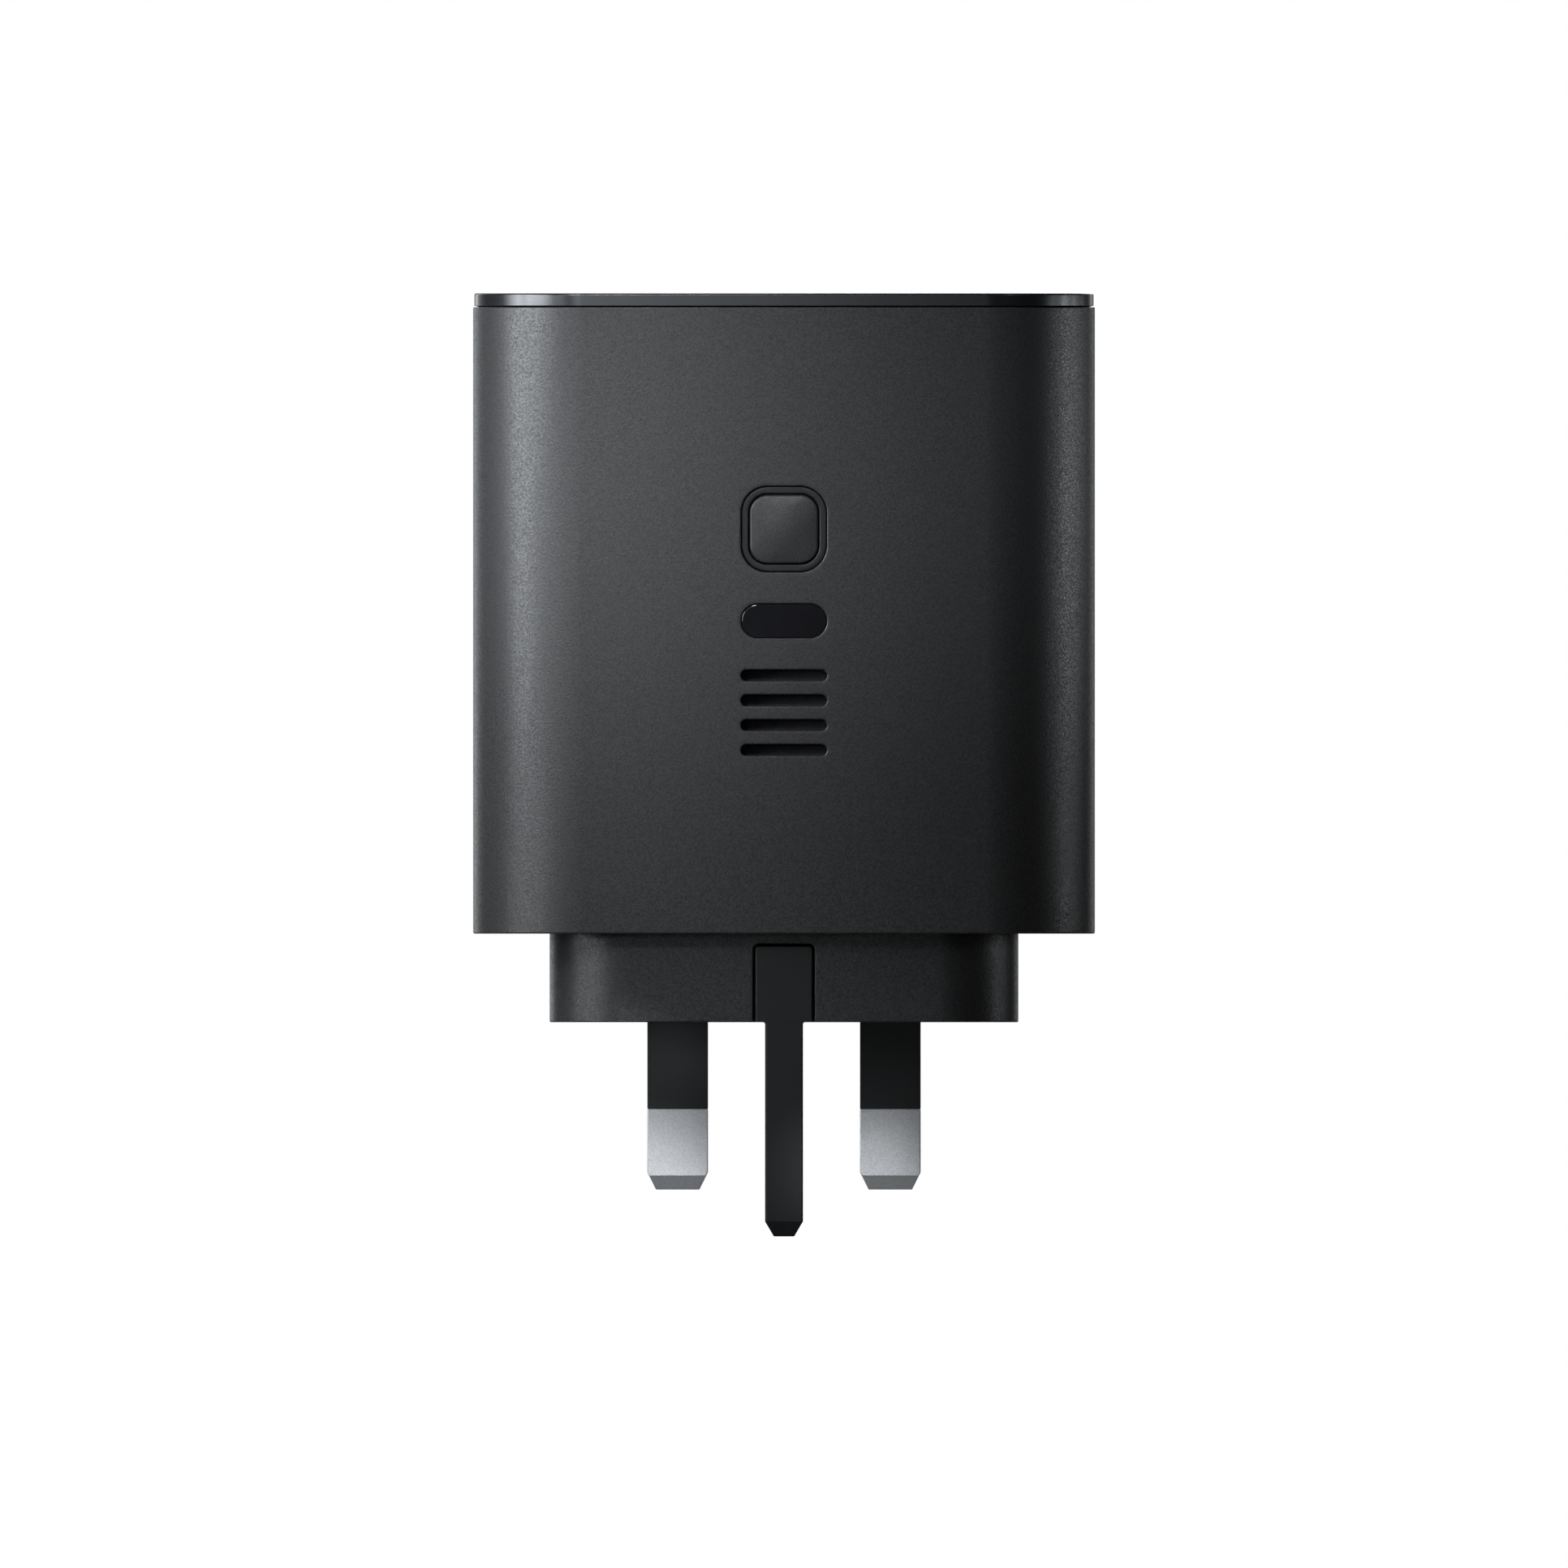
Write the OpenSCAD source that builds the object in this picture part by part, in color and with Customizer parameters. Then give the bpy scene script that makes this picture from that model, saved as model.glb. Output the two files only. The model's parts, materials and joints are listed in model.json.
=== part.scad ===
// Plug-in smart USB power unit: a rounded box on a plug base with three rectangular mains pins,
// a push key, a light window and sounder slots on the front, and USB sockets in a gloss top plate.
// Millimetres. The origin is the centre of the face that meets the wall socket.
// The pins point down (-Z) and the front with the key faces -Y.

/* [Body] */
// Width of the body
body_w = 65; // [60:0.5:80]
// Depth of the body, front to back
body_d = 43; // [40:0.5:60]
// Height of the matt body, without the top plate
body_h = 65.5; // [62:0.5:90]
// Corner radius of the body, seen from above
body_r = 11.4; // [8:0.2:14]
// Wall of the body's four sides
wall = 2; // [1.6:0.1:2.6]
// Wall of the body's top, under the top plate
top_wall = 2; // [1.5:0.1:4]
// Thickness of the gloss top plate
plate_t = 1.45; // [1:0.05:3]
// Step in from the body's side to the top plate's side
plate_step = 0.13; // [0:0.01:0.5]
// Radius of the legs that hold the top plate
leg_r = 1.2; // [0.8:0.1:1.6]

/* [Plug base] */
// Step in from the body's side to the plug base's side
base_in_x = 8; // [6:0.1:9]
// Step in from the body's front to the plug base's front
base_in_y = 2.5; // [2.2:0.1:3.5]
// Height of the plug base below the body
base_h = 9.25; // [9:0.05:14]
// Corner radius of the plug base
base_r = 8.3; // [5:0.1:10]
// Side wall of the plug base
base_wall = 2; // [1.6:0.1:2.5]
// Wall that carries the pins
pin_wall = 3.2; // [2.5:0.1:4]
// Thickness of the plate that closes the body
closure_t = 2.2; // [1.8:0.1:3]

/* [Mains pins] */
// Distance between the centres of the two line pins
pin_pitch = 22.23; // [22:0.01:22.5]
// Distance from the earth pin's centre to the line through the line pins
earth_pitch = 22.23; // [22:0.01:22.5]
// Width of a line pin
pin_w = 6.35; // [6:0.05:6.6]
// Thickness of a line pin
pin_t = 3.975; // [3.8:0.025:4.2]
// Length of a line pin below the plug base
pin_l = 17.5; // [17:0.1:18.2]
// Length of the insulating sleeve below the plug base
sleeve_l = 9.05; // [6:0.05:9.5]
// Wall of the insulating sleeve
sleeve_wall = 0.55; // [0.4:0.05:0.8]
// Length of the taper at a line pin's tip
pin_tip_l = 1.65; // [1:0.05:3]
// Step in at a line pin's tip, on each side
pin_tip_in = 0.9; // [0.4:0.05:1.4]
// Width of a line pin's head inside the plug base
head_w = 9; // [7.5:0.1:10]
// Depth of a line pin's head
head_d = 6.4; // [5:0.1:8]
// Height of a line pin's head
head_h = 3; // [2:0.1:4]
// Width of the tail that a line pin sends to the main board
tail_w = 2; // [1.5:0.1:3]
// Thickness of that tail
tail_t = 0.8; // [0.5:0.1:1]
// Height of the tail above the main board
tail_up = 1.2; // [0.5:0.1:3]
// Width of the earth pin, seen from the front
earth_w = 3.975; // [3.8:0.025:4.2]
// Depth of the earth pin, front to back
earth_d = 7.925; // [7.8:0.025:8.1]
// Length of the earth pin below the plug base
earth_l = 22.4; // [22:0.1:23.2]
// Step in from the plug base's front to the earth pin's front
earth_in = 0.1; // [0.05:0.05:1]
// Length of the taper at the earth pin's tip
earth_tip_l = 1.57; // [1:0.05:3]
// Step in at the earth pin's tip, on each side
earth_tip_in = 0.92; // [0.4:0.05:1.4]
// Width of the earth pin's root
root_w = 5.95; // [5:0.05:8]
// Height of the earth pin's root
root_h = 7.95; // [6:0.05:8]
// Corner radius of the earth pin's root
root_r = 0.4; // [0.2:0.1:1]
// Gap round the earth pin's root
root_gap = 0.25; // [0.1:0.05:0.4]
// Wall of the pocket that holds the root
pocket_wall = 1.6; // [1.2:0.1:2.5]
// Thickness of the plate that holds the line pins down
retainer_t = 2; // [1.5:0.1:3]
// Depth of that plate
retainer_d = 11; // [8:0.5:13]

/* [Front controls] */
// Height of the light window's centre above the body's underside
window_up = 32.7; // [31:0.1:40]
// Width of the key's ring, the light window and the slots
column_w = 9; // [8:0.1:11]
// Clear height between the key's ring, the light window and the slots
column_gap = 3.3; // [3:0.1:5]
// Corner radius of the key's ring
key_r = 2.8; // [2:0.1:3.4]
// Width of the ring that shows round the key
ring_w = 0.8; // [0.5:0.05:1]
// Depth that the ring lies below the front
ring_sink = 0.35; // [0:0.05:0.8]
// Gap between the key and its ring
key_gap = 0.12; // [0.08:0.01:0.2]
// Width of the flange behind the front wall, on the ring and the light window
flange_w = 1.2; // [0.8:0.1:1.3]
// Thickness of that flange
flange_t = 0.8; // [0.6:0.1:1.2]
// Width of the flange that keeps the key in
key_flange_w = 0.75; // [0.5:0.05:0.9]
// Thickness of the key's flange
key_flange_t = 0.8; // [0.6:0.1:1.2]
// Radius of the key's stem
stem_r = 1.6; // [1:0.1:2]
// Length of the key's stem
stem_l = 0.8; // [0.7:0.1:2]
// Travel of the key
key_travel = 0.6; // [0.2:0.05:0.6]
// Height of the light window
window_h = 3.6; // [3:0.1:5]
// Depth that the light window lies below the front
window_sink = 0.08; // [0:0.01:0.3]
// Number of sounder slots
slot_n = 4; // [3:1:4]
// Height of a sounder slot
slot_h = 1.2; // [0.8:0.1:1.4]
// Distance from slot to slot
slot_pitch = 2.6; // [2.2:0.1:3]
// Thickness of the mesh behind the slots
mesh_t = 0.3; // [0.2:0.05:0.5]
// Edge of the mesh beyond the slots
mesh_edge = 1.2; // [0.8:0.1:1.3]

/* [USB sockets] */
// Distance from the body's side to the centre of the outer sockets
port_edge = 15.5; // [12.5:0.5:17]
// Depth of the sockets' mouths below the top plate's face
port_recess = 0.4; // [0.1:0.05:1]
// Sheet thickness of the sockets' shells
port_sheet = 0.3; // [0.25:0.05:0.4]
// Width of a flat oval socket
oval_w = 8.94; // [8.8:0.01:9.2]
// Depth of a flat oval socket
oval_d = 3.16; // [3.1:0.01:3.4]
// Length of a flat oval socket
oval_l = 7.35; // [6:0.05:10]
// Width of a flat oval socket's tongue
oval_tongue_w = 6.69; // [6:0.01:7]
// Thickness of a flat oval socket's tongue
oval_tongue_t = 0.7; // [0.6:0.05:0.8]
// Length of a flat oval socket's tongue
oval_tongue_l = 4.45; // [3:0.05:5]
// Length of the block that closes a flat oval socket's back
oval_back_l = 2; // [1:0.1:2.4]
// Width of the rectangular socket
rect_w = 13.1; // [13:0.05:13.6]
// Depth of the rectangular socket
rect_d = 5.7; // [5.6:0.05:6.2]
// Length of the rectangular socket
rect_l = 14; // [12:0.1:16]
// Width of the rectangular socket's tongue
rect_tongue_w = 11.1; // [10:0.05:11.5]
// Thickness of the rectangular socket's tongue
rect_tongue_t = 1.84; // [1.6:0.02:2]
// Length of the rectangular socket's tongue
rect_tongue_l = 8.4; // [6:0.1:9]
// Distance of that tongue from the socket's middle
rect_tongue_off = 0.9; // [0.5:0.05:1.4]
// Length of the block that closes the rectangular socket's back
rect_back_l = 4.2; // [2:0.1:5]

/* [Boards] */
// Thickness of the main board
main_t = 1.6; // [1:0.1:2]
// Height of the posts under the main board
post_h = 3.6; // [3:0.1:6]
// Gap from the main board to the front and back walls
main_gap_y = 0.6; // [0.4:0.1:1.5]
// Gap from the main board's arms to the side walls
main_gap_x = 1.2; // [0.5:0.1:2]
// Corner radius of the main board
main_r = 2; // [1:0.1:3]
// Thickness of the output board
output_t = 1.2; // [0.8:0.1:1.6]
// Edge of the output board beyond the outer sockets
output_edge = 1; // [0.5:0.1:2]
// Thickness of the control board
control_t = 1.2; // [0.8:0.1:1.6]
// Width of the control board
control_w = 32; // [24:0.5:40]
// Edge of the control board above the key
control_edge = 2; // [1:0.1:6]
// Width and height of the key switch
switch_w = 6; // [5.6:0.1:7]
// Depth of the key switch
switch_d = 3.5; // [3:0.1:5]
// Radius of the switch plunger
plunger_r = 1.7; // [1.2:0.1:2]
// Length of plunger that stands out of the switch
plunger_out = 1.6; // [1:0.1:3]
// Length of the switch's neck that guides the plunger
neck_l = 0.5; // [0.3:0.1:0.8]
// Thickness of the collar that keeps the plunger in
collar_t = 0.5; // [0.3:0.1:0.8]
// Width of that collar
collar_w = 0.5; // [0.3:0.1:0.7]
// Corner radius of the switch
switch_r = 0.4; // [0.2:0.1:1]
// Width of the status light
led_w = 3.5; // [2:0.1:5]
// Height of the status light
led_h = 2.8; // [1.5:0.1:3]
// Depth of the status light
led_d = 1.9; // [0.8:0.1:2.5]
// Height of the light guide
guide_h = 2.6; // [1.5:0.1:3]
// Width of the light guide
guide_w = 7.6; // [5:0.1:8]
// Width and height of the sounder
sounder_w = 9.6; // [8:0.1:10]
// Depth of the sounder
sounder_d = 4.5; // [3:0.1:5]
// Corner radius of the sounder
sounder_r = 1; // [0.5:0.1:3]
// Radius of the sounder's gasket
gasket_r = 4.8; // [4:0.1:5]
// Width of the sounder's gasket ring
gasket_w = 1.2; // [0.8:0.1:2]
// Width of the radio module
radio_w = 14; // [10:0.5:20]
// Height of the radio module
radio_h = 18; // [12:0.5:20]
// Thickness of the radio module's board
radio_t = 0.8; // [0.6:0.1:1.2]
// Width and height of the radio module's shield
shield_w = 12; // [8:0.5:14]
// Depth of the radio module's shield
shield_d = 2.2; // [1.5:0.1:3]
// Corner radius of the radio module's shield
shield_r = 0.8; // [0.4:0.1:2]
// Sheet thickness of the radio module's shield
shield_sheet = 0.3; // [0.2:0.05:0.4]

/* [Power parts] */
// Width of the transformer
trans_w = 18; // [16:0.5:19]
// Height of the window between the transformer's yokes
trans_window = 16; // [10:0.5:20]
// Height of a transformer yoke
yoke_h = 3; // [2:0.1:4]
// Width of a transformer outer leg
leg_w = 2.6; // [1.5:0.1:3]
// Thickness of the wire wound on the transformer
winding_w = 1.8; // [1.2:0.1:2.2]
// Wall and flange thickness of the transformer's bobbin
bobbin_t = 0.8; // [0.6:0.1:1]
// Height of the bobbin's foot
bobbin_foot = 2; // [1:0.1:3]
// Radius of a bulk capacitor
bulk_r = 4.5; // [4:0.1:4.6]
// Height of a bulk capacitor
bulk_h = 24; // [16:0.5:30]
// Radius of the groove rolled into a bulk capacitor
groove_r = 0.5; // [0.3:0.1:0.8]
// Height of that groove above the main board
groove_up = 2.5; // [1.5:0.1:4]
// Width of the film capacitor
film_cap_w = 13; // [10:0.5:14]
// Depth of the film capacitor
film_cap_d = 6; // [4:0.5:8]
// Height of the film capacitor
film_cap_h = 12; // [8:0.5:13]
// Corner radius of the moulded power parts
part_r = 0.9; // [0.3:0.1:1.2]
// Radius of the wires that carry the discs
wire_r = 0.4; // [0.3:0.05:0.6]
// Height of the discs above their board
disc_up = 1.5; // [0.5:0.1:3]
// Radius of the surge disc
surge_r = 5; // [4:0.1:5.5]
// Thickness of the surge disc
surge_t = 4; // [3:0.1:6]
// Outer radius of the choke's core
choke_r = 6; // [5:0.1:6.4]
// Bore radius of the choke's core
choke_bore_r = 3.4; // [3:0.1:4]
// Thickness of the choke's core
choke_t = 4.5; // [3:0.1:6]
// Thickness of wire on the choke
choke_wire = 0.8; // [0.5:0.1:1]
// Height of the choke's foot
choke_foot = 1.5; // [1:0.1:3]
// Width of the fuse
fuse_w = 4; // [3:0.1:4.5]
// Length of the fuse
fuse_l = 8; // [6:0.1:8.4]
// Height of the fuse
fuse_h = 8; // [5:0.1:10]
// Width of the rectifier
rectifier_w = 5; // [4:0.1:5.4]
// Length of the rectifier
rectifier_l = 8; // [6:0.1:8.4]
// Height of the rectifier
rectifier_h = 3.2; // [2:0.1:5]
// Radius of the safety capacitor
safety_r = 3.2; // [2.5:0.1:3.5]
// Thickness of the safety capacitor
safety_t = 3; // [2:0.1:4]
// Width of the power switch chip
chip_w = 8; // [6:0.5:10]
// Width of the port controller chip
controller_w = 6; // [4:0.5:8]
// Thickness of the chips
chip_t = 0.9; // [0.7:0.1:1.2]
// Radius of an output capacitor
out_cap_r = 3.15; // [2.5:0.05:4]
// Length of an output capacitor
out_cap_l = 8; // [5:0.1:9]
// Width of an output inductor
inductor_w = 10; // [8:0.5:11]
// Depth of an output inductor
inductor_d = 5; // [3:0.1:6]
// Corner radius of an output inductor
inductor_r = 1.5; // [0.5:0.1:3]
// Height of the output inductors above the choke
inductor_up = 4; // [2:0.5:8]
// Distance of the output capacitors below the rectangular socket
out_cap_down = 2; // [1:0.1:4]
// Thickness of the heat spreader
spreader_t = 1; // [0.6:0.1:1.2]
// Width of the heat spreader
spreader_w = 40; // [30:1:42]
// Height of the heat spreader
spreader_h = 40; // [30:1:42]
// Thickness of the thermal pad
pad_t = 1; // [0.5:0.1:1.5]
// Thickness of the insulating film
film_t = 0.3; // [0.2:0.1:0.5]

/* [Fasteners and fits] */
// Radius of the closing screws' shanks
close_r = 1.1; // [0.9:0.05:1.3]
// Length of the closing screws' shanks
close_l = 8; // [5:0.5:9]
// Radius of the closing screws' heads
close_head_r = 1.9; // [1.6:0.1:2.2]
// Radius of the small screws' shanks
small_r = 0.9; // [0.7:0.05:1]
// Length of the small screws' shanks
small_l = 4.4; // [4:0.1:5]
// Radius of the small screws' heads
small_head_r = 1.8; // [1.4:0.1:2]
// Height of all screw heads
screw_head_h = 1.2; // [0.8:0.1:1.4]
// Wall of the bosses and posts round a screw
boss_wall = 1.45; // [1.2:0.05:1.6]
// Height of the bosses in the body
boss_h = 10; // [9:0.5:14]
// Gap between a boss and the corner wall behind it
boss_gap = 0.25; // [0.1:0.05:0.6]
// Gap between a main board post and the side wall
post_gap = 1.6; // [1:0.1:2.5]
// Edge of the main board beyond a screw head
head_edge = 0.5; // [0.2:0.1:1]
// Clearance of pieces that fit into each other
fit = 0.1; // [0.05:0.01:0.15]
// Clearance of close fits, such as a screw in its hole
close_fit = 0.05; // [0.02:0.01:0.08]
// Clear space between neighbouring pieces inside
clear = 0.8; // [0.5:0.1:1.2]

/* [Hidden] */
$fn = 64;
// Overlap that lets a cut break cleanly through a face
eps = 0.5;

// Colours as the photograph shows them, and usual ones for what it hides
matt_black = "#323335";
gloss_black = "#17181b";
deep_black = "#0b0b0c";
nickel = "#b4b8ba";
board_green = "#1f5a3a";
ferrite = "#2b2b2e";
copper = "#b3693a";

// Inside faces and levels of the body
x_in = body_w / 2 - wall;
y_in = body_d / 2 - wall;
r_in = body_r - wall;
z_body = base_h;
z_floor = z_body + closure_t;
z_seam = z_body + body_h;
z_ceiling = z_seam - top_wall;
z_top = z_seam + plate_t;
base_w = body_w - 2 * base_in_x;
base_d = body_d - 2 * base_in_y;

// Places of the pins
line_x = pin_pitch / 2;
earth_y = earth_in + earth_d / 2 - base_d / 2;
earth_back = earth_y + earth_d / 2;
line_y = earth_y + earth_pitch;
z_head = pin_wall + head_h;

// Screw places: the closing bosses sit in the body's round corners
boss_r = close_r + boss_wall;
boss_turn = 35;
boss_off = r_in - boss_r - boss_gap;
boss_x = x_in - r_in + boss_off * cos(boss_turn);
boss_y = y_in - r_in + boss_off * sin(boss_turn);
post_r = small_r + boss_wall;
board_post_x = x_in - post_r - post_gap;
board_post_y = boss_y - boss_r - clear - small_head_r - head_edge;
retainer_post_x = line_x + head_w / 2 + post_r + 2 * fit;
legs_x = x_in - r_in;
legs_y = y_in - r_in / 2;

// Main board: a cross that passes between the bosses
z_board = z_floor + post_h;
z_deck = z_board + main_t;
main_x = boss_x - boss_r - clear;
main_y = y_in - main_gap_y;
arm_x = x_in - main_gap_x;
arm_y = boss_y - boss_r - clear;
arm_mid = (main_x + arm_x) / 2;

// Depth stack from the front wall back to the control board
y_front = -body_d / 2;
y_wall = y_front + wall;
y_flange = y_wall + flange_t;
y_key_flange = y_flange + fit;
y_stem = y_key_flange + key_flange_t;
y_stem_end = y_stem + stem_l;
y_plunger = y_stem_end + close_fit;
y_switch = y_plunger + plunger_out;
y_control = y_switch + switch_d;
y_control_back = y_control + control_t;
y_shield_back = y_control_back + radio_t + shield_d;

// Heights of the front controls
z_window = z_body + window_up;
key_z = z_window + window_h / 2 + column_gap + column_w / 2;
slots_h = slot_h + (slot_n - 1) * slot_pitch;
slots_z = z_window - window_h / 2 - column_gap - slots_h / 2;
key_w = column_w - 2 * (ring_w + key_gap);

// USB sockets in a row across the top, on the output board behind them
rect_x = body_w / 2 - port_edge;
oval_x = [-rect_x, 0];
z_mouth = z_top - port_recess;
y_output = rect_d / 2;
y_output_back = y_output + output_t;
output_w = 2 * (rect_x + rect_w / 2 + output_edge);

// Power parts: the rear row leans on the heat spreader, the front row stands between the boards
y_spreader_back = y_in - clear - film_t;
y_spreader = y_spreader_back - spreader_t;
trans_d = y_spreader - pad_t - y_output_back - clear;
trans_y = y_spreader - pad_t - trans_d / 2;
winding_r = min(trans_d / 2, trans_w / 2 - leg_w) - 2 * fit;
centre_r = winding_r - winding_w - bobbin_t - 2 * fit;
bulk_x = main_x - bulk_r - fit;
bulk_y = y_spreader - fit - bulk_r;
row_y = (y_control_back + y_output) / 2;
film_cap_x = -surge_r - 2 * clear - film_cap_w / 2;
choke_x = surge_r + 2 * clear + choke_r + choke_wire;
choke_top = z_deck + choke_foot + fit + 2 * choke_r;
inductor_z = choke_top + inductor_up + inductor_w / 2;
out_cap_z = z_mouth - rect_l - out_cap_down - out_cap_r;

// Flat rounded rectangle, centred
module rounded_2d(w, d, r) {
    square([w - 2 * r, d], center = true);
    square([w, d - 2 * r], center = true);
    for (sx = [-1, 1], sy = [-1, 1])
        translate([sx * (w / 2 - r), sy * (d / 2 - r)]) circle(r);
}

// Flat oval with round ends, centred
module oval_2d(w, d) {
    square([w - d, d], center = true);
    for (sx = [-1, 1]) translate([sx * (w - d) / 2, 0]) circle(d / 2);
}

// Upright rounded block from level z0 to level z1
module rounded_block(w, d, r, z0, z1) {
    translate([0, 0, z0]) linear_extrude(z1 - z0) rounded_2d(w, d, r);
}

// Plain block, centred on x and y, from level z0 to level z1
module block(w, d, z0, z1) {
    translate([-w / 2, -d / 2, z0]) cube([w, d, z1 - z0]);
}

// Flat shape drawn in x and z, swept from depth y0 back to depth y1
module along_y(y0, y1) {
    translate([0, y1, 0]) rotate([90, 0, 0]) linear_extrude(y1 - y0) children();
}

// Copies at the four corners of a rectangle
module at_corners(x, y) {
    for (sx = [-1, 1], sy = [-1, 1]) translate([sx * x, sy * y, 0]) children();
}

// Screw pointing down from its seat at level 0, with a three-sided drive
module screw(shank_r, shank_l, head_r) {
    difference() {
        union() {
            translate([0, 0, -shank_l]) cylinder(r = shank_r, h = shank_l + screw_head_h / 2);
            cylinder(r = head_r, h = screw_head_h);
        }
        translate([0, 0, screw_head_h / 2]) cylinder(r = head_r * 0.55, h = screw_head_h, $fn = 3);
    }
}

// Blade with a taper at its lower tip, from level z0 down to level z1
module blade(w, d, z0, z1, tip_l, tip_in) {
    intersection() {
        along_y(-d / 2, d / 2) tapered_2d(w, z0, z1, tip_l, tip_in);
        rotate([0, 0, 90]) along_y(-w / 2, w / 2) tapered_2d(d, z0, z1, tip_l, tip_in);
    }
}

// Outline of a blade: straight sides that draw in at the tip
module tapered_2d(w, z0, z1, tip_l, tip_in) {
    polygon([
        [-w / 2, z0], [w / 2, z0], [w / 2, z1 + tip_l],
        [w / 2 - tip_in, z1], [tip_in - w / 2, z1], [-w / 2, z1 + tip_l]
    ]);
}

// Socket openings in the top, each one wider than its socket by a gap on every side
module port_openings(gap, z0, z1) {
    for (x = oval_x) translate([x, 0, z0]) linear_extrude(z1 - z0)
        oval_2d(oval_w + 2 * gap, oval_d + 2 * gap);
    translate([rect_x, 0, 0])
        rounded_block(rect_w + 2 * gap, rect_d + 2 * gap, port_sheet + gap, z0, z1);
}

module body_shell() {
    color(matt_black) difference() {
        union() {
            difference() {
                rounded_block(body_w, body_d, body_r, z_body, z_seam);
                rounded_block(2 * x_in, 2 * y_in, r_in, z_body - eps, z_ceiling);
            }
            closing_bosses();
        }
        port_openings(2 * fit, z_ceiling - eps, z_seam + eps);
        at_corners(legs_x, legs_y) translate([0, 0, z_ceiling - eps])
            cylinder(r = leg_r + close_fit, h = top_wall + 2 * eps);
        front_openings();
    }
}

// Bosses for the closing screws, each tied to the corner behind it by a web
module closing_bosses() {
    web_l = boss_r + wall / 2;
    for (sx = [0, 1], sy = [0, 1]) mirror([sx, 0, 0]) mirror([0, sy, 0])
        translate([boss_x, boss_y, z_floor]) difference() {
            union() {
                cylinder(r = boss_r, h = boss_h);
                rotate([0, 0, boss_turn]) translate([0, -boss_wall / 2, 0])
                    cube([web_l, boss_wall, boss_h]);
            }
            translate([0, 0, -eps]) cylinder(r = close_r + close_fit, h = close_l + eps);
        }
}

// Openings of the key's ring, the light window and the sounder slots in the front wall
module front_openings() {
    along_y(y_front - eps, y_wall + eps) {
        translate([0, key_z]) rounded_2d(column_w, column_w, key_r);
        translate([0, z_window]) oval_2d(column_w, window_h);
        for (i = [0 : slot_n - 1]) translate([0, slots_z - slots_h / 2 + slot_h / 2 + i * slot_pitch])
            oval_2d(column_w, slot_h);
    }
}

module top_plate() {
    plate_w = body_w - 2 * plate_step;
    plate_d = body_d - 2 * plate_step;
    color(gloss_black) difference() {
        union() {
            rounded_block(plate_w, plate_d, body_r - plate_step, z_seam, z_top);
            at_corners(legs_x, legs_y) translate([0, 0, z_ceiling])
                cylinder(r = leg_r, h = top_wall + plate_t / 2);
        }
        port_openings(fit, z_seam - eps, z_top + eps);
    }
}

module key_bezel() {
    hole_w = column_w - 2 * ring_w;
    color(deep_black) difference() {
        union() {
            along_y(y_front + ring_sink, y_flange) translate([0, key_z])
                rounded_2d(column_w - 2 * close_fit, column_w - 2 * close_fit, key_r - close_fit);
            along_y(y_wall, y_flange) translate([0, key_z])
                rounded_2d(column_w + 2 * flange_w, column_w + 2 * flange_w, key_r);
        }
        along_y(y_front, y_flange + eps) translate([0, key_z]) rounded_2d(hole_w, hole_w, key_r - ring_w);
    }
}

module power_key() {
    back_w = key_w + 2 * key_flange_w;
    color(matt_black) {
        along_y(y_front, y_stem) translate([0, key_z]) rounded_2d(key_w, key_w, key_r - ring_w - key_gap);
        along_y(y_key_flange, y_stem) translate([0, key_z]) rounded_2d(back_w, back_w, key_r - ring_w);
        along_y(y_key_flange, y_stem_end) translate([0, key_z]) circle(stem_r);
    }
}

module light_window() {
    color(gloss_black) {
        along_y(y_front + window_sink, y_flange) translate([0, z_window])
            oval_2d(column_w - 2 * close_fit, window_h - 2 * close_fit);
        along_y(y_wall, y_flange) translate([0, z_window])
            oval_2d(column_w + 2 * flange_w, window_h + 2 * flange_w);
    }
}

module light_guide() {
    color("#dfe6ea") along_y(y_flange, y_control - led_d - fit) translate([0, z_window])
        rounded_2d(guide_w, guide_h, guide_h / 4);
}

module slot_mesh() {
    color(deep_black) along_y(y_wall, y_wall + mesh_t) translate([0, slots_z])
        rounded_2d(column_w + 2 * mesh_edge, slots_h + 2 * mesh_edge, mesh_edge);
}

module sounder_gasket() {
    color("#3a3a3a") along_y(y_wall + mesh_t, y_control - sounder_d) translate([0, slots_z])
        difference() {
            circle(gasket_r);
            circle(gasket_r - gasket_w);
        }
}

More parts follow.
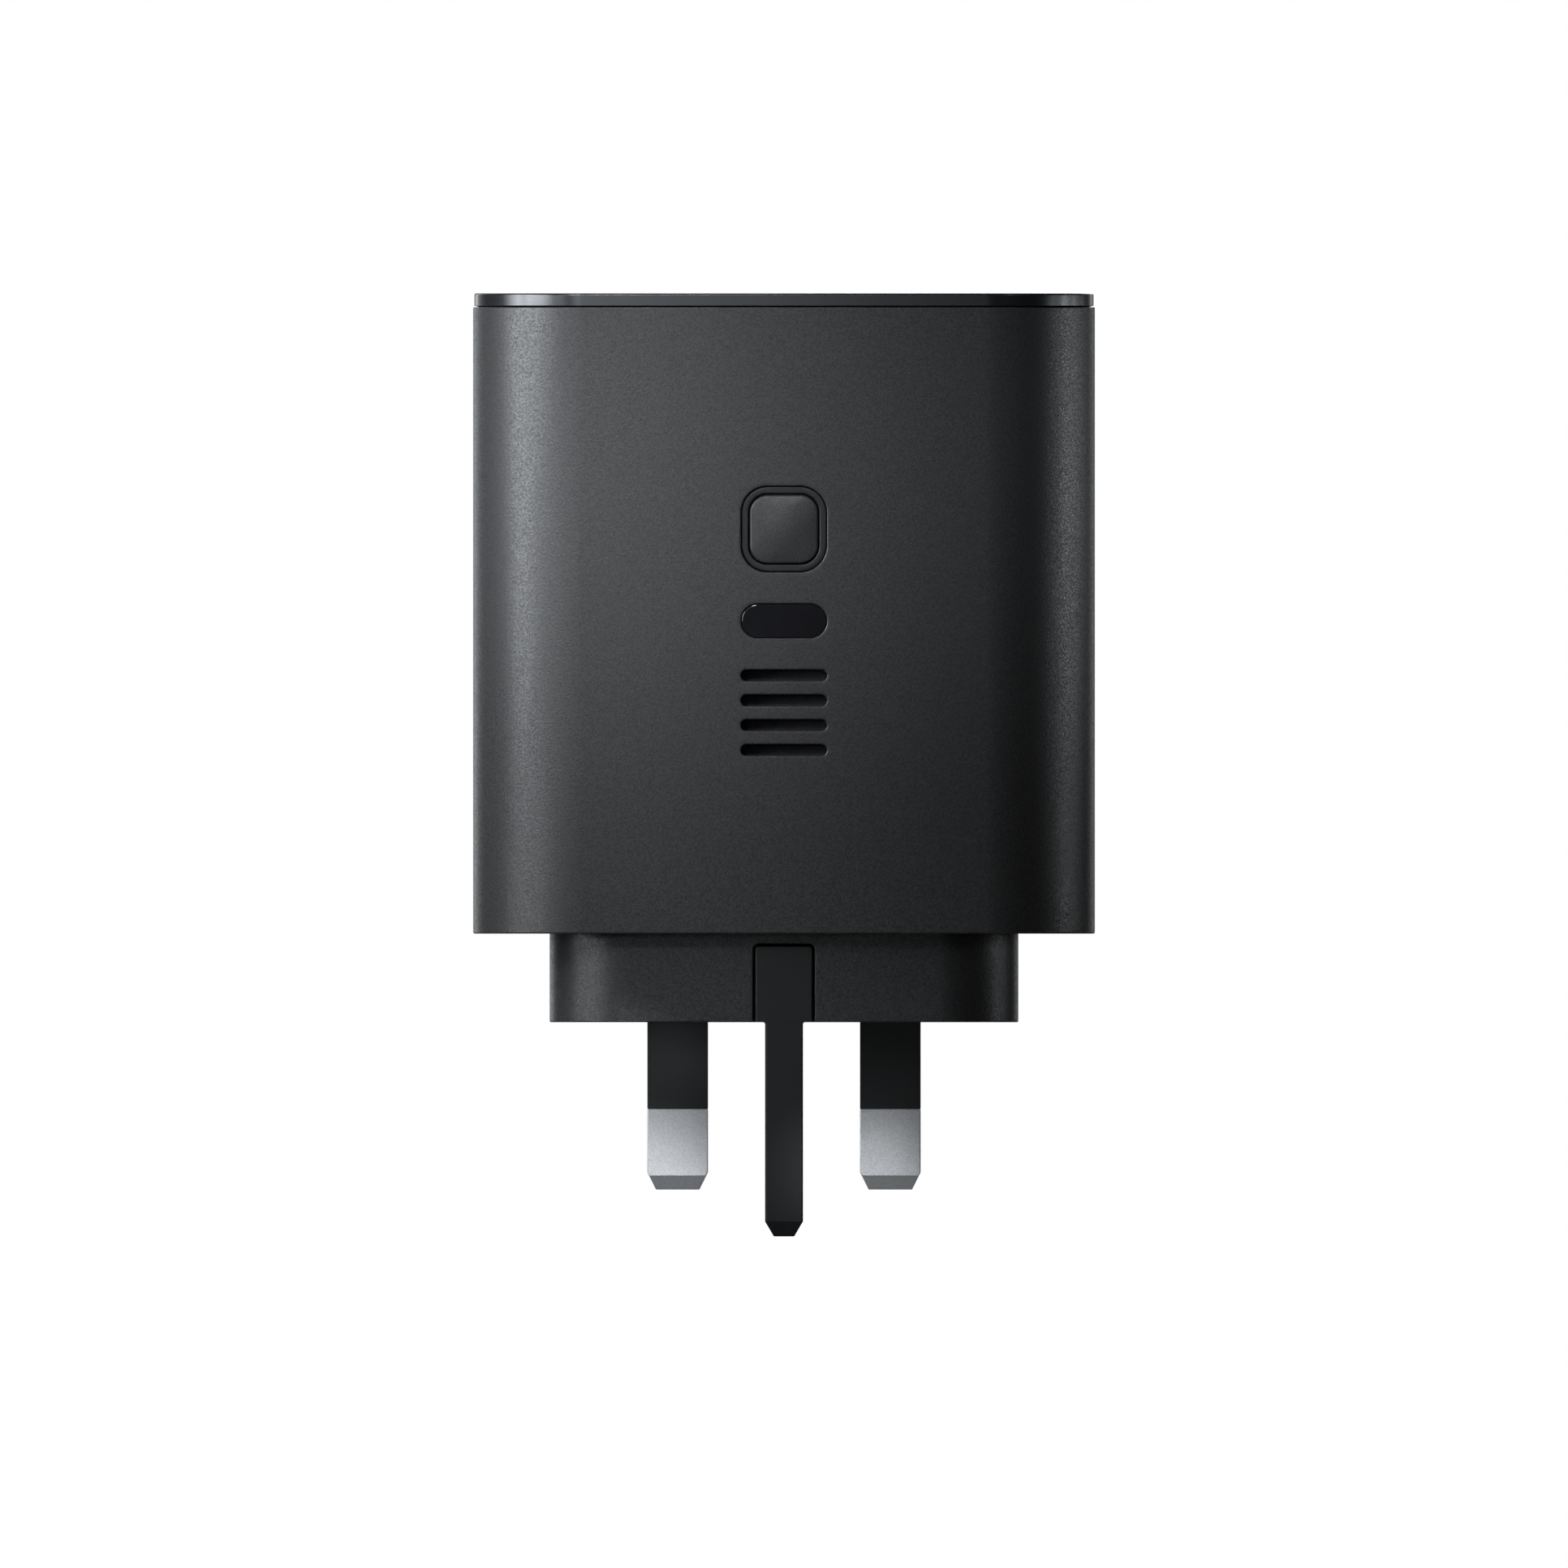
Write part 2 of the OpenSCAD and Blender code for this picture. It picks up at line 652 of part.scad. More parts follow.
module plug_base() {
    pocket_w = root_w + 2 * root_gap;
    pocket_r = root_r + root_gap;
    housing_back = earth_back + pocket_wall;
    cavity_w = base_w - 2 * base_wall;
    cavity_d = base_d - 2 * base_wall;
    color(matt_black) difference() {
        union() {
            difference() {
                union() {
                    rounded_block(base_w, base_d, base_r, 0, z_body);
                    rounded_block(2 * (x_in - fit), 2 * (y_in - fit), r_in - fit, z_body, z_floor);
                }
                rounded_block(cavity_w, cavity_d, base_r - base_wall, pin_wall, z_floor + eps);
            }
            along_y(-base_d / 2 + base_wall / 2, housing_back)
                translate([0, (pin_wall + z_floor - eps) / 2])
                    square([pocket_w + 2 * pocket_wall, z_floor - pin_wall + eps], center = true);
            at_corners(board_post_x, board_post_y) translate([0, 0, z_floor - closure_t / 2])
                cylinder(r = post_r, h = post_h + closure_t / 2);
            for (sx = [-1, 1]) translate([sx * retainer_post_x, line_y, pin_wall / 2])
                cylinder(r = post_r, h = z_head - pin_wall / 2);
        }
        along_y(-base_d / 2 - eps, earth_back) {
            translate([0, (root_h + root_gap) / 2]) rounded_2d(pocket_w, root_h + root_gap, pocket_r);
            translate([0, -eps / 2]) square([pocket_w, root_h], center = true);
        }
        earth_screw_at() cylinder(r = small_r + close_fit, h = 2 * pocket_wall + 2 * eps, center = true);
        for (sx = [-1, 1]) translate([sx * line_x, line_y, -eps]) linear_extrude(pin_wall + 2 * eps)
            square([pin_w + 2 * close_fit, pin_t + 2 * close_fit], center = true);
        at_corners(board_post_x, board_post_y) translate([0, 0, z_board - small_l + main_t - fit])
            cylinder(r = small_r + close_fit, h = small_l + eps);
        for (sx = [-1, 1]) translate([sx * retainer_post_x, line_y, z_head + retainer_t - small_l - fit])
            cylinder(r = small_r + close_fit, h = small_l + eps);
        at_corners(boss_x, boss_y) translate([0, 0, z_body - eps]) {
            cylinder(r = close_r + close_fit, h = closure_t + 2 * eps);
            cylinder(r = close_head_r + close_fit, h = screw_head_h + eps);
        }
    }
}

// Line pin: bare tip, thinner core in the sleeve, head in the plug base and tail up to the main board
module line_pin(sx) {
    core_w = pin_w - 2 * sleeve_wall;
    core_t = pin_t - 2 * sleeve_wall;
    color(nickel) translate([sx * line_x, line_y, 0]) {
        blade(pin_w, pin_t, -sleeve_l, -pin_l, pin_tip_l, pin_tip_in);
        block(core_w, core_t, -sleeve_l - eps, pin_wall + eps);
        block(head_w, head_d, pin_wall, z_head);
        block(tail_w, tail_t, pin_wall, z_deck + tail_up);
    }
}

module pin_sleeve(sx) {
    color(deep_black) translate([sx * line_x, line_y, 0]) difference() {
        block(pin_w, pin_t, -sleeve_l, pin_wall);
        block(pin_w - 2 * sleeve_wall, pin_t - 2 * sleeve_wall, -sleeve_l - eps, pin_wall + eps);
    }
}

module earth_pin() {
    color(deep_black) difference() {
        union() {
            along_y(-base_d / 2 + earth_in / 2, earth_back) {
                translate([0, root_h / 2]) rounded_2d(root_w, root_h, root_r);
                translate([0, root_h / 4]) square([root_w, root_h / 2], center = true);
            }
            translate([0, earth_y, 0])
                blade(earth_w, earth_d, root_h / 2, -earth_l, earth_tip_l, earth_tip_in);
        }
        earth_screw_at()
            cylinder(r = small_r + close_fit, h = 2 * (small_l - pocket_wall + fit), center = true);
    }
}

// Place and direction of the screw that holds the earth pin: head inside, pointing to the front
module earth_screw_at() {
    translate([0, earth_back, pin_wall + small_head_r + 2 * fit]) rotate([-90, 0, 0]) children();
}

module earth_pin_screw() {
    color(nickel) earth_screw_at() translate([0, 0, pocket_wall]) screw(small_r, small_l, small_head_r);
}

module pin_retainer() {
    color("#55585c") translate([0, line_y, z_head]) difference() {
        rounded_block(2 * (retainer_post_x + post_r), retainer_d, post_r, 0, retainer_t);
        for (sx = [-1, 1]) {
            translate([sx * line_x, 0, 0])
                block(tail_w + 2 * fit, tail_t + 2 * fit, -eps, retainer_t + eps);
            translate([sx * retainer_post_x, 0, -eps])
                cylinder(r = small_r + close_fit, h = retainer_t + 2 * eps);
        }
    }
}

module retainer_screws() {
    color(nickel) for (sx = [-1, 1]) translate([sx * retainer_post_x, line_y, z_head + retainer_t])
        screw(small_r, small_l, small_head_r);
}

module base_screws() {
    color(nickel) at_corners(boss_x, boss_y) translate([0, 0, z_body + screw_head_h]) rotate([180, 0, 0])
        screw(close_r, close_l, close_head_r);
}

module main_board() {
    color(board_green) difference() {
        union() {
            rounded_block(2 * main_x, 2 * main_y, main_r, z_board, z_deck);
            rounded_block(2 * arm_x, 2 * arm_y, main_r, z_board, z_deck);
        }
        at_corners(board_post_x, board_post_y) translate([0, 0, z_board - eps])
            cylinder(r = small_r + close_fit, h = main_t + 2 * eps);
        for (sx = [-1, 1]) translate([sx * line_x, line_y, 0])
            block(tail_w + 2 * fit, tail_t + 2 * fit, z_board - eps, z_deck + eps);
    }
}

module board_screws() {
    color(nickel) at_corners(board_post_x, board_post_y) translate([0, 0, z_deck])
        screw(small_r, small_l, small_head_r);
}

module fuse() {
    color("#6b3a24") translate([-arm_mid, 0, 0])
        rounded_block(fuse_w, fuse_l, part_r, z_deck, z_deck + fuse_h);
}

module bridge_rectifier() {
    color(deep_black) translate([arm_mid, 0, 0])
        block(rectifier_w, rectifier_l, z_deck, z_deck + rectifier_h);
}

// Upright disc on two wires: the surge disc and the safety capacitor
module disc_part(r, t) {
    along_y(-t / 2, t / 2) translate([0, z_deck + disc_up + r]) circle(r);
    for (sx = [-1, 1]) translate([sx * r / 2, 0, z_deck]) cylinder(r = wire_r, h = disc_up + r);
}

module surge_disc() {
    color("#2c6fb0") translate([0, row_y, 0]) disc_part(surge_r, surge_t);
}

module safety_capacitor() {
    color("#3f7fbf") translate([-control_w / 4, (y_wall + y_control) / 2, 0])
        disc_part(safety_r, safety_t);
}

module film_capacitor() {
    color("#c9b13a") translate([film_cap_x, row_y, 0])
        rounded_block(film_cap_w, film_cap_d, part_r, z_deck, z_deck + film_cap_h);
}

// The choke stands on its rim in a foot, with its axis front to back
module choke_at() {
    translate([choke_x, row_y, choke_top - choke_r]) rotate([90, 0, 0]) children();
}

module choke_core() {
    color(ferrite) choke_at() difference() {
        cylinder(r = choke_r, h = choke_t, center = true);
        cylinder(r = choke_bore_r, h = choke_t + 2 * eps, center = true);
    }
}

// Two windings of wire on the choke, left and right, each one hollow round the core
module choke_windings() {
    winding_turn = 110;
    color(copper) choke_at() for (sx = [0, 1]) mirror([sx, 0, 0]) rotate([0, 0, -winding_turn / 2])
        rotate_extrude(angle = winding_turn) translate([(choke_r + choke_bore_r) / 2, 0]) difference() {
            square([choke_r - choke_bore_r + 2 * choke_wire, choke_t + 2 * choke_wire], center = true);
            square([choke_r - choke_bore_r + 2 * close_fit, choke_t + 2 * close_fit], center = true);
        }
}

module choke_base() {
    color(deep_black) translate([choke_x, row_y, 0])
        rounded_block(2 * choke_r, choke_t + 2 * choke_wire, part_r, z_deck, z_deck + choke_foot);
}

module bulk_capacitor(sx) {
    color("#27303c") translate([sx * bulk_x, bulk_y, z_deck]) difference() {
        cylinder(r = bulk_r, h = bulk_h);
        translate([0, 0, groove_up]) rotate_extrude() translate([bulk_r, 0]) circle(groove_r);
    }
}

// Levels of the transformer above the main board
trans_yoke = z_deck + bobbin_foot;
trans_mid = trans_yoke + yoke_h + trans_window / 2;

module transformer_core() {
    depth = trans_d - 2 * (bobbin_t + fit);
    half_h = yoke_h + trans_window / 2 - close_fit;
    color(ferrite) translate([0, trans_y, trans_mid]) for (up = [0, 1]) mirror([0, 0, up])
        translate([0, 0, -trans_window / 2 - yoke_h]) {
            block(trans_w, depth, 0, yoke_h);
            for (sx = [-1, 1]) translate([sx * (trans_w - leg_w) / 2, 0, 0])
                block(leg_w, depth, 0, half_h);
            cylinder(r = centre_r, h = half_h);
        }
}

module transformer_bobbin() {
    tube_r = centre_r + fit + bobbin_t;
    web_w = trans_w / 2;
    flange_half = trans_window / 2 - fit;
    color(deep_black) translate([0, trans_y, 0]) difference() {
        union() {
            block(trans_w, trans_d, z_deck, trans_yoke);
            for (sy = [-1, 1]) translate([0, sy * (trans_d - bobbin_t) / 2, 0])
                block(web_w, bobbin_t, z_deck, trans_mid - flange_half + bobbin_t);
            for (z = [trans_mid - flange_half, trans_mid + flange_half - bobbin_t])
                block(trans_w - 2 * (leg_w + fit), trans_d, z, z + bobbin_t);
            translate([0, 0, trans_mid - flange_half]) cylinder(r = tube_r, h = 2 * flange_half);
        }
        translate([0, 0, trans_yoke + yoke_h]) cylinder(r = centre_r + fit, h = trans_window);
    }
}

module transformer_winding() {
    winding_h = trans_window - 2 * (bobbin_t + 2 * fit);
    color("#d8b64a") translate([0, trans_y, trans_mid - winding_h / 2]) difference() {
        cylinder(r = winding_r, h = winding_h);
        translate([0, 0, -eps]) cylinder(r = winding_r - winding_w, h = winding_h + 2 * eps);
    }
}

module thermal_pad() {
    color("#8f979c") translate([0, y_spreader - pad_t / 2, 0])
        block(trans_w - 2 * leg_w, pad_t, z_deck, trans_mid + trans_window / 2);
}

module heat_spreader() {
    color("#c3c7c9") translate([0, y_spreader + spreader_t / 2, 0])
        block(spreader_w, spreader_t, z_deck, z_deck + spreader_h);
}

module insulation_film() {
    color("#e8dfb8") translate([0, y_spreader_back + film_t / 2, 0])
        block(spreader_w + 2 * clear, film_t, z_deck, z_deck + spreader_h + clear);
}

module power_chip() {
    color(deep_black) block(chip_w, chip_w, z_board - chip_t, z_board);
}

// The output board is narrower at its foot, between the fuse and the rectifier
module output_board() {
    z_notch = z_deck + max(fuse_h, rectifier_h) + clear;
    foot_w = 2 * (arm_mid - max(fuse_w, rectifier_w) / 2 - clear);
    color(board_green) translate([0, y_output + output_t / 2, 0]) {
        block(foot_w, output_t, z_deck, z_ceiling - clear);
        block(output_w, output_t, z_notch, z_ceiling - clear);
    }
}

module oval_shell(x) {
    color(nickel) translate([x, 0, z_mouth - oval_l]) linear_extrude(oval_l) difference() {
        oval_2d(oval_w, oval_d);
        oval_2d(oval_w - 2 * port_sheet, oval_d - 2 * port_sheet);
    }
}

module oval_tongue(x) {
    inner_w = oval_w - 2 * (port_sheet + close_fit);
    inner_d = oval_d - 2 * (port_sheet + close_fit);
    color(deep_black) translate([x, 0, z_mouth - oval_l]) {
        linear_extrude(oval_back_l) oval_2d(inner_w, inner_d);
        block(oval_tongue_w, oval_tongue_t, 0, oval_back_l + oval_tongue_l);
    }
}

// Block that lifts a flat oval socket to the line of the others
module oval_riser(x) {
    riser_t = y_output - oval_d / 2;
    color(deep_black) translate([x, y_output - riser_t / 2, 0])
        block(oval_w - oval_d, riser_t, z_mouth - oval_l, z_ceiling - clear);
}

module rect_shell() {
    color(nickel) translate([rect_x, 0, z_mouth - rect_l]) linear_extrude(rect_l) difference() {
        rounded_2d(rect_w, rect_d, 2 * port_sheet);
        rounded_2d(rect_w - 2 * port_sheet, rect_d - 2 * port_sheet, port_sheet);
    }
}

module rect_tongue() {
    inner_w = rect_w - 2 * (port_sheet + close_fit);
    inner_d = rect_d - 2 * (port_sheet + close_fit);
    color("#e9ecee") translate([rect_x, 0, z_mouth - rect_l]) {
        rounded_block(inner_w, inner_d, port_sheet, 0, rect_back_l);
        translate([0, rect_tongue_off, 0])
            block(rect_tongue_w, rect_tongue_t, 0, rect_back_l + rect_tongue_l);
    }
}

module output_capacitor(x) {
    color("#b9bec2") along_y(y_output - out_cap_l, y_output) translate([x, out_cap_z])
        circle(out_cap_r);
}

module output_inductor(sx) {
    color("#4b4f54") along_y(y_output - inductor_d, y_output)
        translate([sx * (inductor_w / 2 + clear), inductor_z])
            rounded_2d(inductor_w, inductor_w, inductor_r);
}

module port_controller() {
    color(deep_black) along_y(y_output_back, y_output_back + chip_t) translate([0, out_cap_z])
        square([controller_w, controller_w], center = true);
}

module control_board() {
    color(board_green) translate([0, y_control + control_t / 2, 0])
        block(control_w, control_t, z_deck, key_z + column_w / 2 + control_edge);
}

// Key switch with a neck that guides the plunger's shaft and a chamber for its collar
module tact_switch() {
    chamber_l = key_travel + collar_t + 3 * fit;
    color(deep_black) difference() {
        along_y(y_switch, y_control) translate([0, key_z]) rounded_2d(switch_w, switch_w, switch_r);
        along_y(y_switch - eps, y_switch + neck_l + eps) translate([0, key_z])
            circle(plunger_r + close_fit);
        along_y(y_switch + neck_l, y_switch + neck_l + chamber_l) translate([0, key_z])
            circle(plunger_r + collar_w + close_fit);
    }
}

module switch_plunger() {
    y_collar = y_switch + neck_l + fit;
    color("#8a4b2a") {
        along_y(y_plunger, y_collar + collar_t) translate([0, key_z]) circle(plunger_r);
        along_y(y_collar, y_collar + collar_t) translate([0, key_z]) circle(plunger_r + collar_w);
    }
}

module status_led() {
    color("#f2efe4") along_y(y_control - led_d, y_control) translate([0, z_window])
        square([led_w, led_h], center = true);
}

module sounder() {
    color(deep_black) along_y(y_control - sounder_d, y_control) translate([0, slots_z])
        rounded_2d(sounder_w, sounder_w, sounder_r);
}

module radio_module() {
    color("#23486b") along_y(y_control_back, y_control_back + radio_t) translate([0, z_window])
        square([radio_w, radio_h], center = true);
}

module radio_shield() {
    inner_w = shield_w - 2 * shield_sheet;
    color(nickel) difference() {
        along_y(y_control_back + radio_t, y_shield_back) translate([0, z_window])
            rounded_2d(shield_w, shield_w, shield_r);
        along_y(y_control_back, y_shield_back - shield_sheet) translate([0, z_window])
            square([inner_w, inner_w], center = true);
    }
}

body_shell();
top_plate();
key_bezel();
power_key();
light_window();
light_guide();
slot_mesh();
sounder_gasket();
plug_base();
line_pin(-1);  // live_pin
line_pin(1);  // neutral_pin
pin_sleeve(-1);  // live_pin_sleeve
pin_sleeve(1);  // neutral_pin_sleeve
earth_pin();
earth_pin_screw();
pin_retainer();
retainer_screws();
base_screws();
main_board();
board_screws();
fuse();
bridge_rectifier();
surge_disc();
safety_capacitor();
film_capacitor();
choke_core();
choke_windings();
choke_base();
bulk_capacitor(-1);  // bulk_capacitor_1
bulk_capacitor(1);  // bulk_capacitor_2
transformer_core();
transformer_bobbin();
transformer_winding();
thermal_pad();
heat_spreader();
insulation_film();
power_chip();
output_board();
oval_shell(oval_x[0]);  // usb_c_shell_1
oval_shell(oval_x[1]);  // usb_c_shell_2
oval_tongue(oval_x[0]);  // usb_c_tongue_1
oval_tongue(oval_x[1]);  // usb_c_tongue_2
oval_riser(oval_x[0]);  // usb_c_riser_1
oval_riser(oval_x[1]);  // usb_c_riser_2
rect_shell();  // usb_a_shell
rect_tongue();  // usb_a_tongue
output_capacitor(oval_x[0]);  // output_capacitor_1
output_capacitor(oval_x[1]);  // output_capacitor_2
output_inductor(-1);  // output_inductor_1
output_inductor(1);  // output_inductor_2
port_controller();
control_board();
tact_switch();
switch_plunger();
status_led();
sounder();
radio_module();
radio_shield();
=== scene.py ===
"""Looks of a plug-in smart power unit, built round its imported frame.

Shapes are worked out in millimetres and turned to metres when a piece is finished.
The front with the key faces -Y, the mains pins point down and the sockets open upwards.
"""

import json
import math

import bmesh
import bpy
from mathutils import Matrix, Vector


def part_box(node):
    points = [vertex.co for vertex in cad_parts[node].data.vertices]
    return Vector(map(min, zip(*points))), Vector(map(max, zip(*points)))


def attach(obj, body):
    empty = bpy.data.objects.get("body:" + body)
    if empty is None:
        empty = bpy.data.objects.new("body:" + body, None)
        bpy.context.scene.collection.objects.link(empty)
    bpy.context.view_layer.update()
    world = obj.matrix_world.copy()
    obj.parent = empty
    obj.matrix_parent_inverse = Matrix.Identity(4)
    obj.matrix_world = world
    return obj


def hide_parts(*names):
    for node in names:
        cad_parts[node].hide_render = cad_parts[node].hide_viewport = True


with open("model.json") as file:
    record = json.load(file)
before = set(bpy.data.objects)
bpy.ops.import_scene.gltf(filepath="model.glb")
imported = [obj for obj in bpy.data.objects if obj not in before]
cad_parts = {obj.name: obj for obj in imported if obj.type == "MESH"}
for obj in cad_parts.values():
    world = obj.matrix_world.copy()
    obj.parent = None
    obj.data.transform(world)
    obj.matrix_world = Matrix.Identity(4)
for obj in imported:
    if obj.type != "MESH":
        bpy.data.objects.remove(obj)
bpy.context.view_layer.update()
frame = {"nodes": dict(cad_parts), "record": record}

MM = 0.001


def box(node):
    """Lowest and highest corner of a frame node in millimetres."""
    low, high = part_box(node)
    return [value / MM for value in low], [value / MM for value in high]


# Sizes read from the frame
(_, FRONT, Z_BODY), (BODY_SIDE, BODY_BACK, Z_SEAM) = box("body_shell")
(_, _, Z_CEILING), (PLATE_SIDE, PLATE_BACK, Z_TOP) = box("top_plate")
_, (CLOSURE_SIDE, CLOSURE_BACK, Z_BOARD) = box("plug_base")
(_, RING_FRONT, _), (_, Y_FLANGE, _) = box("key_bezel")
(_, KEY_FRONT, KEY_LOW), (KEY_SIDE, STEM_END, KEY_HIGH) = box("power_key")
(_, WINDOW_FRONT, WINDOW_LOW), (_, _, WINDOW_HIGH) = box("light_window")
(_, INSIDE_FRONT, SLOTS_LOW), (SLOTS_SIDE, _, SLOTS_HIGH) = box("slot_mesh")
(_, EARTH_FRONT, EARTH_TIP), (ROOT_SIDE, EARTH_BACK, ROOT_TOP) = box("earth_pin")
(PIN_HEAD_LOW, PIN_HEAD_FRONT, PIN_TIP), (PIN_HEAD_HIGH, PIN_HEAD_BACK, TAIL_TOP) = box("neutral_pin")
(SLEEVE_LOW, SLEEVE_FRONT, SLEEVE_END), (SLEEVE_HIGH, SLEEVE_BACK, PIN_WALL) = box("neutral_pin_sleeve")

# Body and top plate
BODY_W, BODY_D = 2 * BODY_SIDE, 2 * BODY_BACK
PLATE_W, PLATE_D = 2 * PLATE_SIDE, 2 * PLATE_BACK
BODY_R = 11.4
PLATE_R = BODY_R - (BODY_SIDE - PLATE_SIDE)
WALL = INSIDE_FRONT - FRONT
BODY_FOOT_EDGE = 0.18
BODY_SEAM_EDGE = 0.1
PLATE_SEAM_EDGE = 0.05
PLATE_TOP_EDGE = 0.2
SEAM_GROOVE_H = 0.14
SEAM_GROOVE_IN = 0.5
LEG_R = 1.2
LEG_X = BODY_SIDE - BODY_R
LEG_Y = BODY_BACK - WALL - (BODY_R - WALL) / 2
BOSS_R = 2.8
BOSS_BORE = 1.15
BOSS_H = 10

# Column of controls on the front
COLUMN_W = 9
COLUMN_R = 2.8
OPENING_EDGE = 0.16
FLANGE_W = 1.2
FLANGE_T = Y_FLANGE - INSIDE_FRONT
FIT = 0.05
RING_W = 0.8
RING_EDGE = 0.14
KEY_FLANGE_W = 0.75
KEY_FLANGE_T = 0.8
KEY_STEM_R = 1.6
KEY_STEM_L = 0.8
KEY_EDGE = 0.26
KEY_CROWN = 0.3
KEY_CROWN_STEPS = 12
KEY_GAP = 0.12
KEY_R = COLUMN_R - RING_W - KEY_GAP
KEY_W = 2 * (KEY_SIDE - KEY_FLANGE_W)
KEY_Z = (KEY_LOW + KEY_HIGH) / 2
WINDOW_EDGE = 0.12
WINDOW_H = WINDOW_HIGH - WINDOW_LOW - 2 * FLANGE_W
WINDOW_Z = (WINDOW_LOW + WINDOW_HIGH) / 2
MESH_EDGE = SLOTS_SIDE - COLUMN_W / 2
SLOT_COUNT = 4
SLOT_H = 1.2
SLOT_FIRST = SLOTS_LOW + MESH_EDGE + SLOT_H / 2
SLOT_PITCH = (SLOTS_HIGH - SLOTS_LOW - 2 * MESH_EDGE - SLOT_H) / (SLOT_COUNT - 1)

# Plug base
BASE_IN_SIDE, BASE_IN_FRONT = 8, 2.5
BASE_W = BODY_W - 2 * BASE_IN_SIDE
BASE_D = BODY_D - 2 * BASE_IN_FRONT
BASE_R = 8.3
BASE_WALL = 2
BASE_EDGE = 0.16
BASE_FRONT = -BASE_D / 2
CLOSURE_GAP = 0.1
CLOSURE_T = 2.2
CLOSURE_R = BODY_R - WALL - CLOSURE_GAP
CLOSURE_TOP = Z_BODY + CLOSURE_T
POCKET_GAP = 0.25
POCKET_SIDE = ROOT_SIDE + POCKET_GAP
POCKET_TOP = ROOT_TOP + POCKET_GAP
POCKET_R = 0.65
POCKET_WALL = 1.6
SCREW_HEAD_R = 1.9
SCREW_X, SCREW_Y = [high - SCREW_HEAD_R for high in box("base_screws")[1][:2]]
SCREW_BORE = 1.15
SCREW_SEAT_R = 1.95
SCREW_SEAT_H = 1.2
POST_R = 2.35
POST_BORE = 0.95
POST_DEPTH = 2.8
BOARD_SCREW_R = 1.8
BOARD_POST_X, BOARD_POST_Y = [high - BOARD_SCREW_R for high in box("board_screws")[1][:2]]
PIN_HEAD_H = 3
PIN_HEAD_TOP = PIN_WALL + PIN_HEAD_H

# Mains pins
PIN_X = (SLEEVE_LOW + SLEEVE_HIGH) / 2
PIN_Y = (SLEEVE_FRONT + SLEEVE_BACK) / 2
PIN_W, PIN_T = SLEEVE_HIGH - SLEEVE_LOW, SLEEVE_BACK - SLEEVE_FRONT
PIN_R = 0.12
PIN_TAPER_SIDE_L, PIN_TAPER_FRONT_L, PIN_TAPER_IN = 1.82, 1.48, 0.9
TAPER_ROUND = 0.04
PIN_CLEAR = 0.05
SLEEVE_WALL = 0.55
SLEEVE_FIT = 0.01
SLEEVE_BORE_IN = SLEEVE_WALL - SLEEVE_FIT
SLEEVE_LIP = 0.06
POST_GAP = 0.2
RETAINER_POST_X = PIN_HEAD_HIGH + POST_R + POST_GAP
TAIL_W, TAIL_T = 2, 0.8
EARTH_W = 3.975
EARTH_R = 0.2
EARTH_EDGE = 0.15
EARTH_FLARE = 0.22
EARTH_TAPER_SIDE_L, EARTH_TAPER_FRONT_L, EARTH_TAPER_IN = 1.57, 1.57, 0.92
ROOT_R = 0.4

# Sockets in the top
SOCKET_SHEET = 0.3
PLATE_PORT_GAP, WALL_PORT_GAP = 0.1, 0.2
PORT_EDGE = 0.2
OVAL_TONGUE_W, OVAL_TONGUE_T = 6.69, 0.7
OVAL_BACK_L = 2
OVAL_PADS, OVAL_PAD_PITCH, OVAL_PAD_W, OVAL_PAD_L = 12, 0.5, 0.26, 3.2
RECT_TONGUE_W, RECT_TONGUE_T = 11.1, 1.84
RECT_TONGUE_Y = 0.9
RECT_BACK_L = 4.2
RECT_PADS, RECT_PAD_PITCH, RECT_PAD_W, RECT_PAD_L = 4, 2.3, 1.1, 6.4
PAD_T = 0.04
PAD_FROM_TIP = 0.5

# Flat collar round an opening, so that the shading of its round edge stays off the face
COLLAR = 0.4

# Smoothness of round stretches, and the angle from which an edge stays crisp
CORNER_STEPS = 18
FILLET_STEPS = 5
SMALL_STEPS = 6
CRISP = math.radians(24)

# Decimals of a millimetre at which two corners count as one
WELD_DIGITS = 3

# Colours that are used more than once or need a name
CHARCOAL = (0.031, 0.0315, 0.0325)
JET = (0.016, 0.0165, 0.0175)
GLOSS_BLACK = (0.012, 0.0125, 0.014)
COOL = (0.94, 0.98, 1, 1)
NICKEL = (0.86, 0.87, 0.88)
BARE_COPPER = (0.72, 0.45, 0.2)
FLOOR_GREY = (0.3, 0.3, 0.3)
FLOOR_GLOW = (0.9, 0.9, 0.9, 1)
DIM_FILL = (0.01, 0.01, 0.01, 1)
WHITE = (1, 1, 1, 1)

# Range of the roughness from the dullest grain of a plastic to the shiniest
GRIT_GLINT = 0.24


class Wire:
    """One output of a shader graph. Arithmetic on it adds Math nodes."""

    def __init__(self, finish, socket):
        self.finish = finish
        self.socket = socket

    def math(self, operation, left, right):
        """Adds one Math node."""
        return self.finish.node("ShaderNodeMath", {"operation": operation}, {0: left, 1: right})

    def __add__(self, other):
        return self.math("ADD", self, other)

    def __radd__(self, other):
        return self.math("ADD", other, self)

    def __sub__(self, other):
        return self.math("SUBTRACT", self, other)

    def __rsub__(self, other):
        return self.math("SUBTRACT", other, self)

    def __mul__(self, other):
        return self.math("MULTIPLY", self, other)

    def __rmul__(self, other):
        return self.math("MULTIPLY", other, self)

    def __gt__(self, other):
        return self.math("GREATER_THAN", self, other)

    def __lt__(self, other):
        return self.math("LESS_THAN", self, other)


